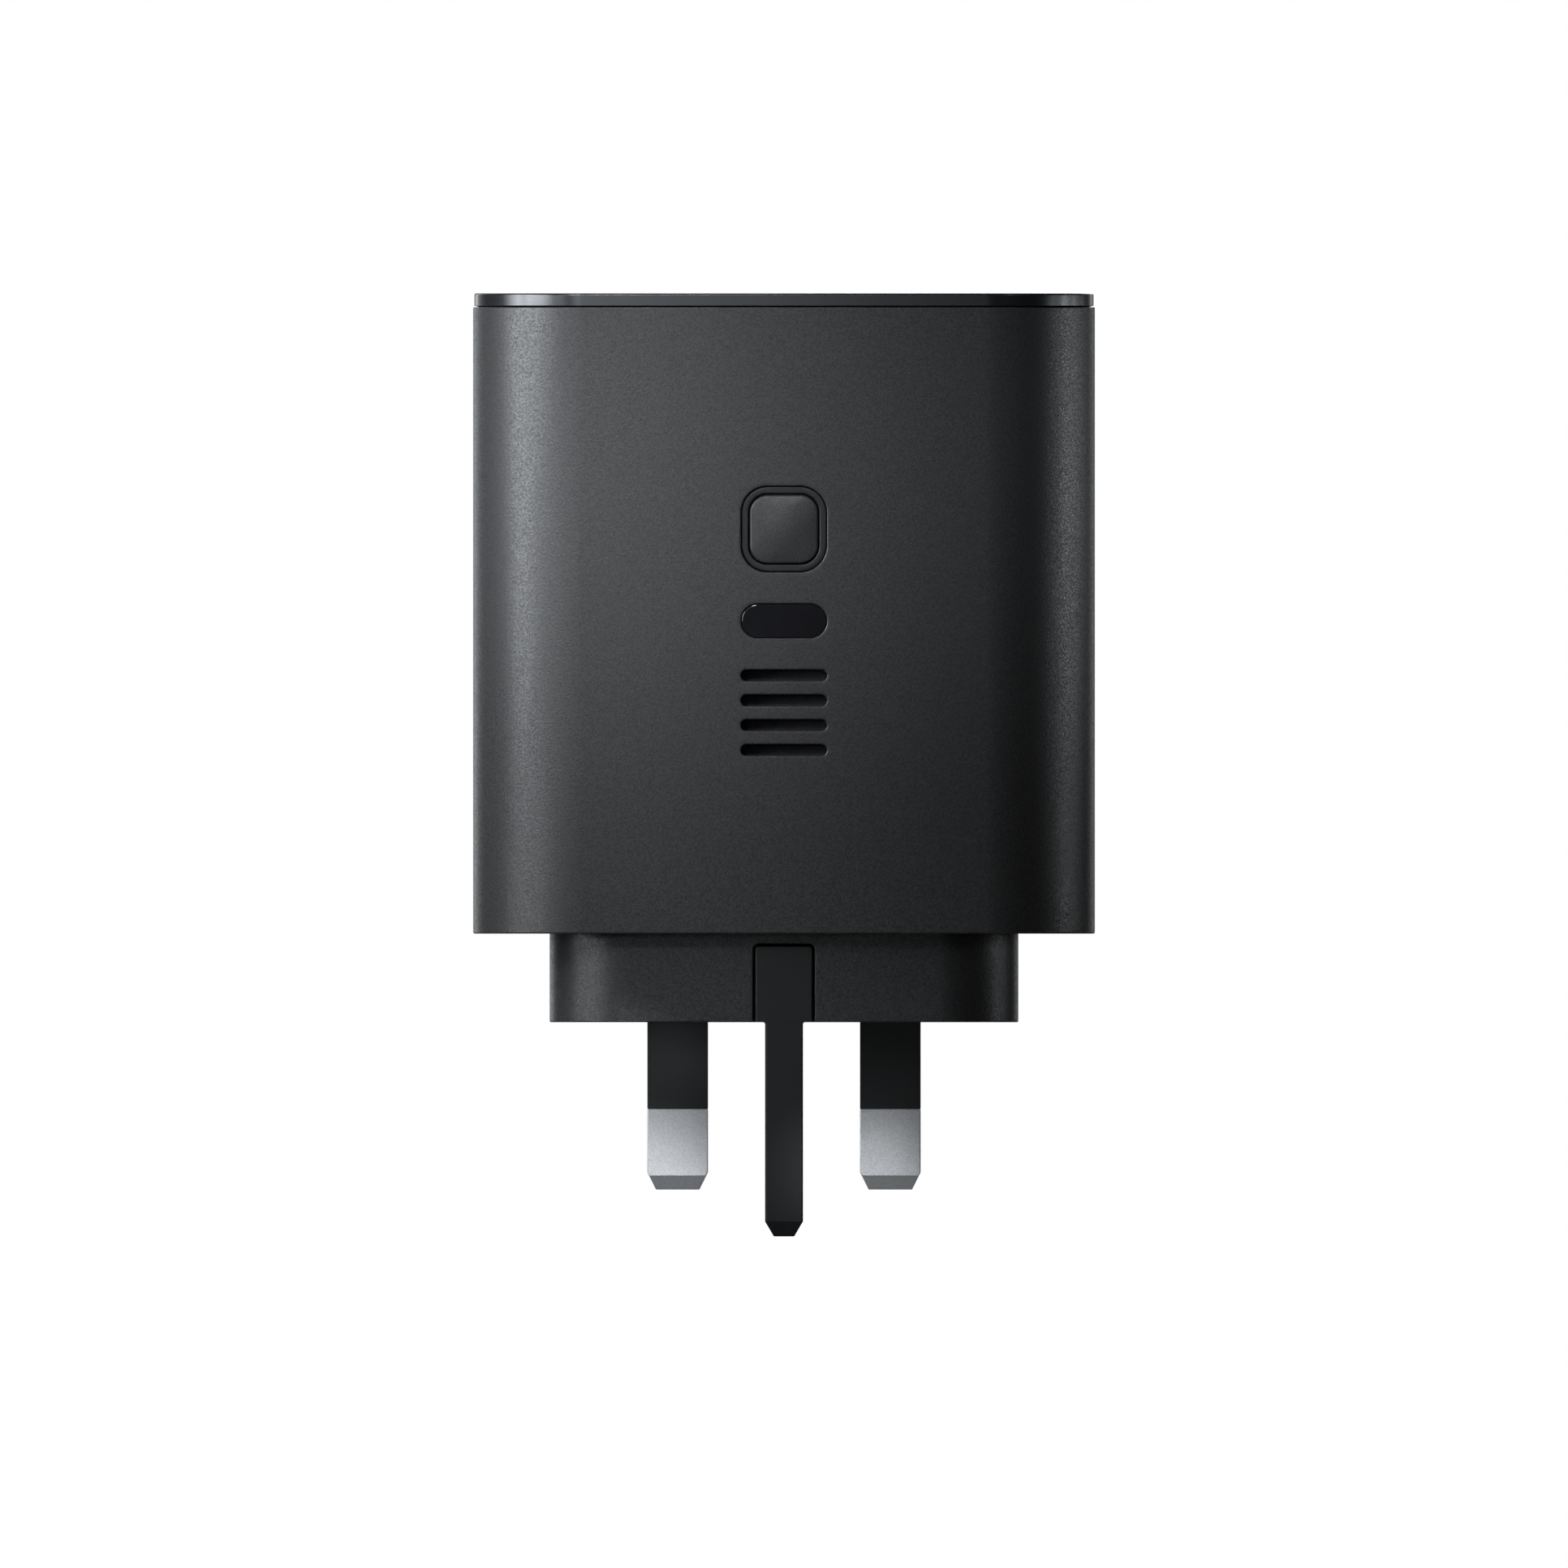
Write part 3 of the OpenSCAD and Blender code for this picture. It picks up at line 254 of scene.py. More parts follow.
class Finish:
    """A material under construction. Keywords set the shader's own sockets."""

    def __init__(self, name, colour, rough, **sockets):
        self.material = bpy.data.materials.new(name)
        self.material.use_nodes = True
        self.tree = self.material.node_tree
        self.shader = self.tree.nodes["Principled BSDF"]
        self.give("Base Color", (*colour, 1))
        self.give("Roughness", rough)
        for socket, value in sockets.items():
            self.give(socket.replace("_", " "), value)

    def give(self, socket, value):
        """Sets one socket of the shader to a value or links a wire to it."""
        self.plug(self.shader.inputs[socket], value)

    def plug(self, target, value):
        """Sets any socket to a value or links a wire to it."""
        if isinstance(value, Wire):
            self.tree.links.new(value.socket, target)
        else:
            target.default_value = value

    def node(self, kind, settings, sockets, output=0):
        """Adds a node: its settings first, then the values or wires of its sockets."""
        node = self.tree.nodes.new(kind)
        for key, value in settings.items():
            setattr(node, key, value)
        for key, value in sockets.items():
            self.plug(node.inputs[key], value)
        return Wire(self, node.outputs[output])

    def place(self, kind="Object"):
        """Coordinates of a point: in the object's own lengths, or Generated from 0 to 1."""
        return self.node("ShaderNodeTexCoord", {}, {}, kind)

    def axes(self, kind="Object"):
        """The x, y and z of a place as three wires."""
        parts = self.node("ShaderNodeSeparateXYZ", {}, {0: self.place(kind)})
        return [Wire(self, socket) for socket in parts.socket.node.outputs]

    def stretched(self, x, y, z):
        """Places with each axis scaled, so that what is drawn on them is drawn out."""
        sockets = {0: self.place(), 1: (x, y, z)}
        return self.node("ShaderNodeVectorMath", {"operation": "MULTIPLY"}, sockets)

    def noise(self, size, detail=2.0, at=None):
        """Soft noise from 0 to 1 with features of about that size in millimetres."""
        sockets = {"Vector": at or self.place(), "Scale": 1 / (size * MM), "Detail": detail}
        return self.node("ShaderNodeTexNoise", {}, sockets)

    def cells(self, size, output="Distance", metric="EUCLIDEAN"):
        """Random cells of about that size in millimetres. Distances from their middles are in cells."""
        sockets = {"Vector": self.place(), "Scale": 1 / (size * MM)}
        return self.node("ShaderNodeTexVoronoi", {"distance": metric}, sockets, output)

    def grit(self, size, metric="EUCLIDEAN"):
        """A random number from 0 to 1 for each small cell."""
        return self.node("ShaderNodeSeparateColor", {}, {0: self.cells(size, "Color", metric)})

    def specks(self, size, share):
        """1 in a share of small random cells and 0 elsewhere."""
        grey = self.node("ShaderNodeRGBToBW", {}, {0: self.cells(size, "Color")})
        return grey > 1 - share

    def mix(self, mask, low, high):
        """The first colour where the mask is 0, the second where it is 1."""
        low, high = [value if isinstance(value, Wire) else (*value, 1) for value in (low, high)]
        return self.node("ShaderNodeMix", {"data_type": "RGBA"}, {0: mask, 6: low, 7: high}, 2)

    def paint(self, mask, colour, low, high):
        """Base colour from a darker to a lighter shade of one colour."""
        self.give("Base Color", self.mix(mask, shade(colour, low), shade(colour, high)))

    def relief(self, height, depth):
        """Bumps of that depth in millimetres."""
        sockets = {"Strength": 1.0, "Distance": depth * MM, "Height": height}
        self.give("Normal", self.node("ShaderNodeBump", {}, sockets))


def shade(colour, factor):
    """A colour made darker or lighter."""
    return tuple(min(value * factor, 1) for value in colour)


def spark_eroded(name, colour, rough, grain, depth):
    """Moulded plastic from a spark-eroded tool: shallow pits, and grains that glint unevenly."""
    finish = Finish(name, colour, rough, IOR=1.49)
    grit = finish.grit(grain)
    pits = finish.noise(2 * grain, 2)
    finish.paint(grit, colour, 0.5, 1.5)
    finish.give("Roughness", rough + GRIT_GLINT * (0.5 - grit))
    finish.relief(pits, depth)
    return finish.material


def moulded(name, colour, rough, grain=0.3, depth=0.002, **sockets):
    """Smooth moulded plastic with a faint flow and a fine tooth."""
    finish = Finish(name, colour, rough, **sockets)
    flow = finish.noise(9, 2)
    tooth = finish.noise(grain, 2)
    finish.paint(flow * 0.6 + tooth * 0.4, colour, 0.86, 1.14)
    finish.give("Roughness", rough + 0.1 * (tooth - 0.5) + 0.06 * (flow - 0.5))
    finish.relief(tooth, depth)
    return finish.material


def polished(name, colour, rough, **sockets):
    """High-gloss plastic with the slight waviness of a polished tool."""
    finish = Finish(name, colour, rough, **sockets)
    wave = finish.noise(7, 1)
    haze = finish.noise(1.4, 3)
    finish.paint(haze, colour, 0.85, 1.15)
    finish.give("Roughness", rough + 0.03 * haze)
    finish.relief(wave, 0.004)
    return finish.material


def plated(name, colour, rough, grain=0.12, depth=0.0015, draw=(1, 1, 1)):
    """Plated or bare metal: a fine tooth, drawn out along the way that it was rolled."""
    finish = Finish(name, colour, rough, Metallic=1.0)
    tooth = finish.noise(grain, 3, finish.stretched(*draw))
    cloud = finish.noise(2.5, 2)
    finish.paint(cloud * 0.5 + tooth * 0.5, colour, 0.88, 1.08)
    finish.give("Roughness", rough + 0.14 * (tooth - 0.5) + 0.08 * (cloud - 0.5))
    finish.relief(tooth, depth)
    return finish.material


def blasted(name, colour, rough):
    """Satin metal with the fine even tooth of bead blasting."""
    finish = Finish(name, colour, rough, Metallic=1.0)
    grit = finish.grit(0.1)
    tooth = finish.noise(0.2, 2)
    finish.paint(grit, colour, 0.9, 1.06)
    finish.give("Roughness", rough + GRIT_GLINT * 0.4 * (0.5 - grit))
    finish.relief(tooth, 0.008)
    return finish.material


def laminate(name, mask_colour):
    """Board laminate: solder mask over tracks, with bare copper at the lands."""
    finish = Finish(name, mask_colour, 0.38, Coat_Weight=0.4)
    track = finish.grit(1.8, "CHEBYCHEV") > 0.4
    land = finish.cells(2.6) < 0.17
    weave = finish.noise(0.4, 2, finish.stretched(1, 1, 3))
    tone = track * 0.55 + weave * 0.25
    mask = finish.mix(tone, shade(mask_colour, 0.7), shade(mask_colour, 1.6))
    finish.give("Base Color", finish.mix(land, mask, BARE_COPPER))
    finish.give("Metallic", land)
    finish.give("Roughness", 0.4 - 0.12 * land + 0.08 * (weave - 0.5))
    finish.relief(track * 0.6 + land * 0.4, 0.02)
    return finish.material


def wound(name, colour, pitch, rough, metal, axis):
    """Turns of wire or tape laid side by side along one axis."""
    finish = Finish(name, colour, rough, Metallic=metal)
    along = finish.axes()[axis] * (2 * math.pi / (pitch * MM))
    turn = finish.node("ShaderNodeMath", {"operation": "SINE"}, {0: along}) * 0.5 + 0.5
    stain = finish.noise(1.8, 2)
    # Partly painted shade: each turn is darker down into the groove beside the next one; the stain is a
    # real random tone
    finish.paint(turn * 0.7 + stain * 0.3, colour, 0.55, 1.15)
    finish.give("Roughness", rough + 0.2 * (1 - turn))
    finish.relief(turn, 0.12)
    return finish.material


def sintered(name, colour, rough):
    """Pressed and fired powder, dark and faintly speckled."""
    finish = Finish(name, colour, rough)
    powder = finish.noise(0.25, 4)
    crystal = finish.specks(0.3, 0.08)
    finish.paint(powder * 0.6 + crystal * 0.4, colour, 0.6, 1.7)
    finish.give("Roughness", rough + 0.2 * (powder - 0.5) - 0.15 * crystal)
    finish.relief(powder, 0.02)
    return finish.material


def dipped(name, colour):
    """Dipped coating with soft lumps and a wet gloss."""
    finish = Finish(name, colour, 0.28, Coat_Weight=0.5)
    lump = finish.noise(2.2, 2)
    skin = finish.noise(0.5, 2)
    finish.paint(lump * 0.7 + skin * 0.3, colour, 0.75, 1.2)
    finish.give("Roughness", 0.22 + 0.16 * skin)
    finish.relief(lump * 0.8 + skin * 0.2, 0.08)
    return finish.material


def shrink_sleeve(name, colour, stripe):
    """Printed shrink sleeve of a capacitor: dark film with one pale stripe down the side."""
    finish = Finish(name, colour, 0.32)
    across, depth, _ = finish.axes("Generated")
    band = (across > 0.38) * (across < 0.62) * (depth < 0.5)
    film = finish.noise(1.2, 3)
    finish.give("Base Color", finish.mix(band * (0.85 + 0.15 * film), colour, stripe))
    finish.give("Roughness", 0.26 + 0.16 * film)
    finish.relief(film, 0.01)
    return finish.material


def woven(name, colour, pitch):
    """Fine acoustic cloth: threads over and under each other."""
    finish = Finish(name, colour, 0.7, Sheen_Weight=0.15)
    across, _, up = finish.axes()
    turn = 2 * math.pi / (pitch * MM)
    warp = finish.node("ShaderNodeMath", {"operation": "SINE"}, {0: across * turn})
    weft = finish.node("ShaderNodeMath", {"operation": "SINE"}, {0: up * turn})
    thread = warp * weft * 0.5 + 0.5
    fluff = finish.noise(0.15, 2)
    # Partly painted shade: the cloth is darker where the threads dip under each other; the fluff is a
    # real random tone
    finish.paint(thread * 0.8 + fluff * 0.2, colour, 0.35, 1.5)
    finish.give("Roughness", 0.62 + 0.2 * fluff)
    finish.relief(thread, 0.06)
    return finish.material


def foamed(name, colour):
    """Closed-cell foam with small open pores on its skin."""
    finish = Finish(name, colour, 0.85)
    shadow = finish.cells(0.3)
    # Painted shade: each pore is darker towards its middle, where a real pore would lie in shadow
    finish.paint(shadow, colour, 0.45, 1.3)
    finish.give("Roughness", 0.78 + 0.15 * shadow)
    finish.relief(shadow, 0.08)
    return finish.material


def filled_rubber(name, colour):
    """Soft gap-filling rubber, full of mineral grains."""
    finish = Finish(name, colour, 0.6)
    filler = finish.noise(0.3, 4)
    grains = finish.specks(0.35, 0.15)
    finish.paint(filler * 0.6 + grains * 0.4, colour, 0.75, 1.2)
    finish.give("Roughness", 0.5 + 0.2 * filler)
    finish.relief(filler, 0.03)
    return finish.material


def cast_clear(name, colour, rough, clear, **sockets):
    """Clear or smoked plastic with faint flow lines."""
    finish = Finish(name, colour, rough, Transmission_Weight=clear, IOR=1.52, **sockets)
    flow = finish.noise(2.4, 2, finish.stretched(1, 1, 0.3))
    finish.paint(flow, colour, 0.9, 1.05)
    finish.give("Roughness", rough + 0.05 * flow)
    finish.relief(flow, 0.003)
    return finish.material


def pale_sweep(name):
    """Studio floor: bright to the camera, and clear from below."""
    finish = Finish(name, FLOOR_GREY, 0.9)
    finish.paint(finish.noise(40, 2), FLOOR_GREY, 0.97, 1.03)
    shown = finish.node("ShaderNodeLightPath", {}, {}, "Is Camera Ray")
    glow = finish.node("ShaderNodeEmission", {}, {"Color": FLOOR_GLOW})
    cloth = Wire(finish, finish.shader.outputs[0])
    lit = finish.node("ShaderNodeMixShader", {}, {0: shown * 0.92, 1: cloth, 2: glow})
    below = finish.node("ShaderNodeNewGeometry", {}, {}, "Backfacing")
    clear = finish.node("ShaderNodeBsdfTransparent", {}, {})
    whole = finish.node("ShaderNodeMixShader", {}, {0: below, 1: lit, 2: clear})
    finish.plug(finish.tree.nodes["Material Output"].inputs["Surface"], whole)
    return finish.material


def gilded(name):
    """Thin gold plating on the contacts."""
    return plated(name, (0.86, 0.62, 0.26), 0.24, grain=0.08, depth=0.001, draw=(1, 1, 0.2))


FINISHES = {
    "shell_plastic": spark_eroded("shell_plastic", CHARCOAL, 0.42, grain=0.12, depth=0.018),
    "plate_plastic": polished("plate_plastic", GLOSS_BLACK, 0.24, IOR=1.6, Specular_Tint=COOL),
    # The ring's own black plastic, made darker still as painted shade of a recessed groove
    "ring_plastic": moulded("ring_plastic", (0.006, 0.006, 0.0065), 0.46),
    "key_plastic": spark_eroded("key_plastic", shade(CHARCOAL, 0.9), 0.44, grain=0.1, depth=0.006),
    "window_plastic": polished("window_plastic", (0.01, 0.01, 0.012), 0.06, Coat_Weight=0.6),
    "guide_plastic": cast_clear("guide_plastic", (0.86, 0.9, 0.93), 0.12, 0.85),
    "mesh_cloth": woven("mesh_cloth", (0.022, 0.022, 0.024), 0.28),
    "gasket_foam": foamed("gasket_foam", (0.05, 0.05, 0.052)),
    "base_plastic": spark_eroded("base_plastic", shade(CHARCOAL, 0.9), 0.42, grain=0.11, depth=0.014),
    "pin_metal": blasted("pin_metal", NICKEL, 0.56),
    # Painted light and painted shade: the sleeves get a lighter and the earth pin a darker copy of one
    # black, evening out the light that falls on each
    "sleeve_plastic": moulded("sleeve_plastic", shade(JET, 1.2), 0.55, grain=0.2, depth=0.003),
    "earth_plastic": moulded("earth_plastic", shade(JET, 0.65), 0.58, grain=0.16, depth=0.004),
    "screw_steel": plated("screw_steel", (0.56, 0.57, 0.58), 0.3, grain=0.2, depth=0.003),
    "retainer_plastic": moulded("retainer_plastic", (0.09, 0.095, 0.1), 0.5),
    "board_laminate": laminate("board_laminate", (0.012, 0.1, 0.045)),
    "fuse_case": moulded("fuse_case", (0.14, 0.045, 0.02), 0.4),
    "chip_plastic": moulded("chip_plastic", (0.016, 0.016, 0.017), 0.55, grain=0.18, depth=0.006),
    "disc_coating": dipped("disc_coating", (0.03, 0.16, 0.42)),
    "film_case": moulded("film_case", (0.55, 0.42, 0.05), 0.42),
    "ferrite": sintered("ferrite", (0.03, 0.03, 0.033), 0.6),
    "copper_wire": wound("copper_wire", (0.72, 0.32, 0.14), 0.8, 0.3, 0.85, 2),
    "capacitor_sleeve": shrink_sleeve("capacitor_sleeve", (0.02, 0.03, 0.05), (0.5, 0.52, 0.55)),
    "winding_tape": wound("winding_tape", (0.62, 0.44, 0.07), 4.2, 0.34, 0.0, 2),
    "pad_rubber": filled_rubber("pad_rubber", (0.28, 0.31, 0.33)),
    "spreader_metal": plated("spreader_metal", (0.74, 0.76, 0.77), 0.32, grain=0.2, draw=(0.05, 1, 1)),
    "clear_film": cast_clear("clear_film", (0.8, 0.68, 0.36), 0.2, 0.4),
    "socket_steel": plated("socket_steel", (0.63, 0.635, 0.64), 0.27, grain=0.1, draw=(1, 1, 0.12)),
    "tongue_plastic": moulded("tongue_plastic", (0.012, 0.012, 0.013), 0.42),
    "white_plastic": moulded("white_plastic", (0.78, 0.79, 0.78), 0.4),
    "can_metal": plated("can_metal", (0.7, 0.71, 0.72), 0.34, grain=0.16, draw=(1, 1, 0.2)),
    "plunger_plastic": moulded("plunger_plastic", (0.22, 0.09, 0.04), 0.45),
    "radio_laminate": laminate("radio_laminate", (0.015, 0.05, 0.13)),
}
GOLD = gilded("contact_gold")


def quarter(radius, steps=FILLET_STEPS):
    """Quarter round as (inset, depth) pairs, from a flat face to the side that it joins."""
    turns = [math.pi / 2 * i / steps for i in range(steps + 1)]
    return [(radius * (1 - math.sin(turn)), radius * (1 - math.cos(turn))) for turn in turns]


def arc(centre, radius, start, end, steps):
    """Points on an arc, with its angles in degrees."""
    turns = [math.radians(start + (end - start) * i / steps) for i in range(steps + 1)]
    return [(centre[0] + radius * math.cos(turn), centre[1] + radius * math.sin(turn)) for turn in turns]


def rounded(w, h, r, at=(0, 0), steps=CORNER_STEPS):
    """Anticlockwise outline of a rounded rectangle. It starts with the lower side."""
    points = []
    for k, (sx, sy) in enumerate([(1, -1), (1, 1), (-1, 1), (-1, -1)]):
        centre = (at[0] + sx * (w / 2 - r), at[1] + sy * (h / 2 - r))
        points += arc(centre, r, 90 * k - 90, 90 * k, steps)
    return points[-1:] + points[:-1]


def circle(r, at=(0, 0), steps=SMALL_STEPS):
    """Outline of a circle, with its points in the order of a rounded rectangle's."""
    return rounded(2 * r, 2 * r, r, at, steps)


def level(outline, z):
    """Outline in x and y at a height."""
    return [(x, y, z) for x, y in outline]


def facing(outline, y):
    """Outline in x and z at a depth."""
    return [(x, y, z) for x, z in outline]


class Skin:
    """Faces of one piece in millimetres, welded where their corners meet."""

    def __init__(self):
        self.mesh = bmesh.new()
        self.corners = {}

    def loop(self, points):
        """Corners at these points, each one once."""
        verts = []
        for point in points:
            key = tuple(round(value, WELD_DIGITS) for value in point)
            if key not in self.corners:
                self.corners[key] = self.mesh.verts.new(point)
            if self.corners[key] not in verts:
                verts.append(self.corners[key])
        return verts

    def face(self, points):
        """One face, unless its corners fall together."""
        verts = self.loop(points)
        if len(verts) > 2:
            self.mesh.faces.new(verts)

    def band(self, first, second, skip=(), closed=True):
        """Strip of faces between two lines with as many points each."""
        count = len(first)
        for i in range(count if closed else count - 1):
            j = (i + 1) % count
            if i not in skip:
                self.face([first[i], first[j], second[j], second[i]])

    def bands(self, rings, closed=True):
        """Strips of faces from each line to the next."""
        for first, second in zip(rings, rings[1:]):
            self.band(first, second, closed=closed)

    def tower(self, rings):
        """Rings joined one after the other, with both ends closed."""
        self.bands(rings)
        self.face(rings[0])
        self.face(rings[-1])

    def tube(self, rings):
        """Rings joined one after the other, and the last one to the first."""
        self.bands(rings + rings[:1])

    def sheet(self, *outlines):
        """Flat face inside the first outline, with the others as holes."""
        edges = []
        for points in outlines:
            verts = self.loop(points)
            for pair in zip(verts, verts[1:] + verts[:1]):
                edges.append(self.mesh.edges.get(pair) or self.mesh.edges.new(pair))
        bmesh.ops.triangle_fill(self.mesh, use_beauty=True, edges=edges)

    def post(self, at, r, bore, z0, z1, depth):
        """Round post with a blind bore from its top, standing in a hole of a sheet at z0."""
        rings = [level(circle(r, at), z0), level(circle(r, at), z1), level(circle(bore, at), z1)]
        rings.append(level(circle(bore, at), z1 - depth))
        self.bands(rings)
        self.face(rings[-1])

    def piece(self, name, slot, body, *nodes, finish=None):
        """Turns the faces into an object that rides on a body and stands for these nodes."""
        mesh = self.mesh
        bmesh.ops.recalc_face_normals(mesh, faces=mesh.faces)
        for face in mesh.faces:
            face.smooth = True
        for edge in mesh.edges:
            edge.smooth = edge.calc_face_angle(0) < CRISP
        bmesh.ops.scale(mesh, vec=(MM, MM, MM), verts=mesh.verts)
        data = bpy.data.meshes.new(name)
        mesh.to_mesh(data)
        mesh.free()
        data.materials.append(finish or FINISHES[slot])
        made = bpy.data.objects.new(name, data)
        bpy.context.scene.collection.objects.link(made)
        weighted = made.modifiers.new("even_shading", "WEIGHTED_NORMAL")
        weighted.keep_sharp = True
        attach(made, body)
        if nodes:
            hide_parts(*nodes)


def four_corners(x, y):
    """Four places that lie alike about the middle."""
    return [(sx * x, sy * y) for sx in (-1, 1) for sy in (-1, 1)]


def plan(node):
    """Width, depth and middle of a node seen from above, and its lowest and highest level."""
    low, high = box(node)
    middle = ((low[0] + high[0]) / 2, (low[1] + high[1]) / 2)
    return high[0] - low[0], high[1] - low[1], middle, low[2], high[2]


def socket_outlines():
    """Outline functions of the three sockets, each one taking a gap all round."""
    outlines = []
    for node in ("usb_c_shell_1", "usb_c_shell_2", "usb_a_shell"):
        w, d, at, _, _ = plan(node)
        r = d / 2 if node != "usb_a_shell" else 2 * SOCKET_SHEET
        outlines.append(lambda gap, w=w, d=d, r=r, at=at: rounded(w + 2 * gap, d + 2 * gap, r + gap, at))
    return outlines


def front_outlines():
    """Outline functions of the openings in the front: the key's ring, the light window and the slots."""
    shapes = [(COLUMN_W, COLUMN_R, KEY_Z), (WINDOW_H, WINDOW_H / 2, WINDOW_Z)]
    shapes += [(SLOT_H, SLOT_H / 2, SLOT_FIRST + i * SLOT_PITCH) for i in range(SLOT_COUNT)]
    return [
        lambda gap, h=h, r=r, z=z: rounded(COLUMN_W + 2 * gap, h + 2 * gap, r + gap, (0, z))
        for h, r, z in shapes
    ]


def body_case():
    """Matt outer case: round corners, a hollow inside, openings in its front and top."""
    skin = Skin()

    def ring(inset, z):
        """Outline of the case at a height."""
        return level(rounded(BODY_W - 2 * inset, BODY_D - 2 * inset, BODY_R - inset), z)

    foot = [ring(inset, Z_BODY + rise) for inset, rise in quarter(BODY_FOOT_EDGE)]
    shoulder = [ring(inset, Z_SEAM - drop) for inset, drop in reversed(quarter(BODY_SEAM_EDGE))]
    inner_top, inner_foot = ring(WALL, Z_CEILING), ring(WALL, Z_BODY)
    skin.bands([inner_foot] + foot)
    skin.bands(shoulder)
    front_side = (0,)
    skin.band(foot[-1], shoulder[0], skip=front_side)
    skin.band(inner_top, inner_foot, skip=front_side)

    openings = front_outlines()
    outer_face = [foot[-1][0], foot[-1][1], shoulder[0][1], shoulder[0][0]]
    inner_face = [inner_foot[0], inner_foot[1], inner_top[1], inner_top[0]]
    skin.sheet(outer_face, *[facing(opening(OPENING_EDGE + COLLAR), FRONT) for opening in openings])
    skin.sheet(inner_face, *[facing(opening(0), INSIDE_FRONT) for opening in openings])
    for opening in openings:
        collar = facing(opening(OPENING_EDGE + COLLAR), FRONT)
        edge = [facing(opening(gap), FRONT + depth) for gap, depth in quarter(OPENING_EDGE)]
        skin.bands([collar] + edge + [facing(opening(0), INSIDE_FRONT)])

    tops = [outline(WALL_PORT_GAP) for outline in socket_outlines()]
    tops += [circle(LEG_R + FIT, at) for at in four_corners(LEG_X, LEG_Y)]
    skin.sheet(shoulder[-1], *[level(outline, Z_SEAM) for outline in tops])
    skin.sheet(inner_top, *[level(outline, Z_CEILING) for outline in tops])
    for outline in tops:
        skin.band(level(outline, Z_SEAM), level(outline, Z_CEILING))

    for at in four_corners(SCREW_X, SCREW_Y):
        walls = [(BOSS_R, CLOSURE_TOP), (BOSS_R, CLOSURE_TOP + BOSS_H)]
        walls += [(BOSS_BORE, CLOSURE_TOP + BOSS_H), (BOSS_BORE, CLOSURE_TOP)]
        skin.tube([level(circle(r, at), z) for r, z in walls])
    skin.piece("body_case", "shell_plastic", "housing", "body_shell")


def gloss_top():
    """Gloss plate on the top, with its legs and the mouths of the sockets."""
    skin = Skin()

    def ring(inset, z):
        """Outline of the plate at a height."""
        return level(rounded(PLATE_W - 2 * inset, PLATE_D - 2 * inset, PLATE_R - inset), z)

    brim = Z_SEAM + SEAM_GROOVE_H
    under = [ring(SEAM_GROOVE_IN, Z_SEAM)]
    under += [ring(inset, brim + rise) for inset, rise in quarter(PLATE_SEAM_EDGE)]
    over = [ring(inset, Z_TOP - drop) for inset, drop in reversed(quarter(PLATE_TOP_EDGE))]
    skin.bands(under + over)
    mouths = socket_outlines()
    legs = [circle(LEG_R, at) for at in four_corners(LEG_X, LEG_Y)]
    wide = PLATE_PORT_GAP + PORT_EDGE + COLLAR
    skin.sheet(over[-1], *[level(mouth(wide), Z_TOP) for mouth in mouths])
    lower = [mouth(PLATE_PORT_GAP) for mouth in mouths] + legs
    skin.sheet(under[0], *[level(outline, Z_SEAM) for outline in lower])
    for mouth in mouths:
        edge = [level(mouth(PLATE_PORT_GAP + gap), Z_TOP - drop) for gap, drop in quarter(PORT_EDGE)]
        skin.bands([level(mouth(wide), Z_TOP)] + edge + [level(mouth(PLATE_PORT_GAP), Z_SEAM)])
    for leg in legs:
        skin.band(level(leg, Z_SEAM), level(leg, Z_CEILING))
        skin.face(level(leg, Z_CEILING))
    skin.piece("gloss_top", "plate_plastic", "housing", "top_plate")


def key_ring():
    """Ring round the key, let into the front, with a flange behind the wall."""
    skin = Skin()

    def ring(grow, y):
        """Outline of the ring's place, grown all round, at a depth."""
        half = COLUMN_W / 2 + grow
        return facing(rounded(2 * half, 2 * half, COLUMN_R + min(grow, 0), (0, KEY_Z)), y)

    hole = -RING_W
    outer = [ring(-FIT - inset, RING_FRONT + depth) for inset, depth in quarter(RING_EDGE)]
    inner = [ring(hole + inset, RING_FRONT + depth) for inset, depth in reversed(quarter(RING_EDGE))]
    flange = [(-FIT, INSIDE_FRONT), (FLANGE_W, INSIDE_FRONT), (FLANGE_W, Y_FLANGE), (hole, Y_FLANGE)]
    skin.tube(inner + outer + [ring(grow, y) for grow, y in flange])
    skin.piece("key_ring", "ring_plastic", "housing", "key_bezel")


def push_key():
    """Push key with a crowned face, a keeping flange and a stem to the switch."""
    skin = Skin()

    def ring(inset, y):
        """Outline of the key at a depth."""
        side = KEY_W - 2 * inset
        return facing(rounded(side, side, KEY_R - min(inset, KEY_R / 2), (0, KEY_Z)), y)

    def disc(r, y):
        """Outline of the stem at a depth."""
        return facing(circle(r, (0, KEY_Z), CORNER_STEPS), y)

    crown = []
    reach = KEY_W / 2 - KEY_EDGE
    for i in range(1, KEY_CROWN_STEPS):
        share = i / KEY_CROWN_STEPS
        round_r = reach * (1 - share) + (KEY_R - KEY_EDGE) * share
        side = 2 * reach * share
        outline = rounded(side, side, min(round_r, side / 2), (0, KEY_Z))
        crown.append(facing(outline, KEY_FRONT + KEY_CROWN * share**2))
    edge = [ring(inset, KEY_FRONT + KEY_CROWN + depth) for inset, depth in quarter(KEY_EDGE)]
    flange_back = STEM_END - KEY_STEM_L
    flange_front = flange_back - KEY_FLANGE_T
    stem = [disc(KEY_STEM_R, flange_back), disc(KEY_STEM_R, STEM_END)]
    flange = [ring(0, flange_front), ring(-KEY_FLANGE_W, flange_front), ring(-KEY_FLANGE_W, flange_back)]
    skin.tower(crown + edge + flange + stem)
    skin.piece("push_key", "key_plastic", "key", "power_key")


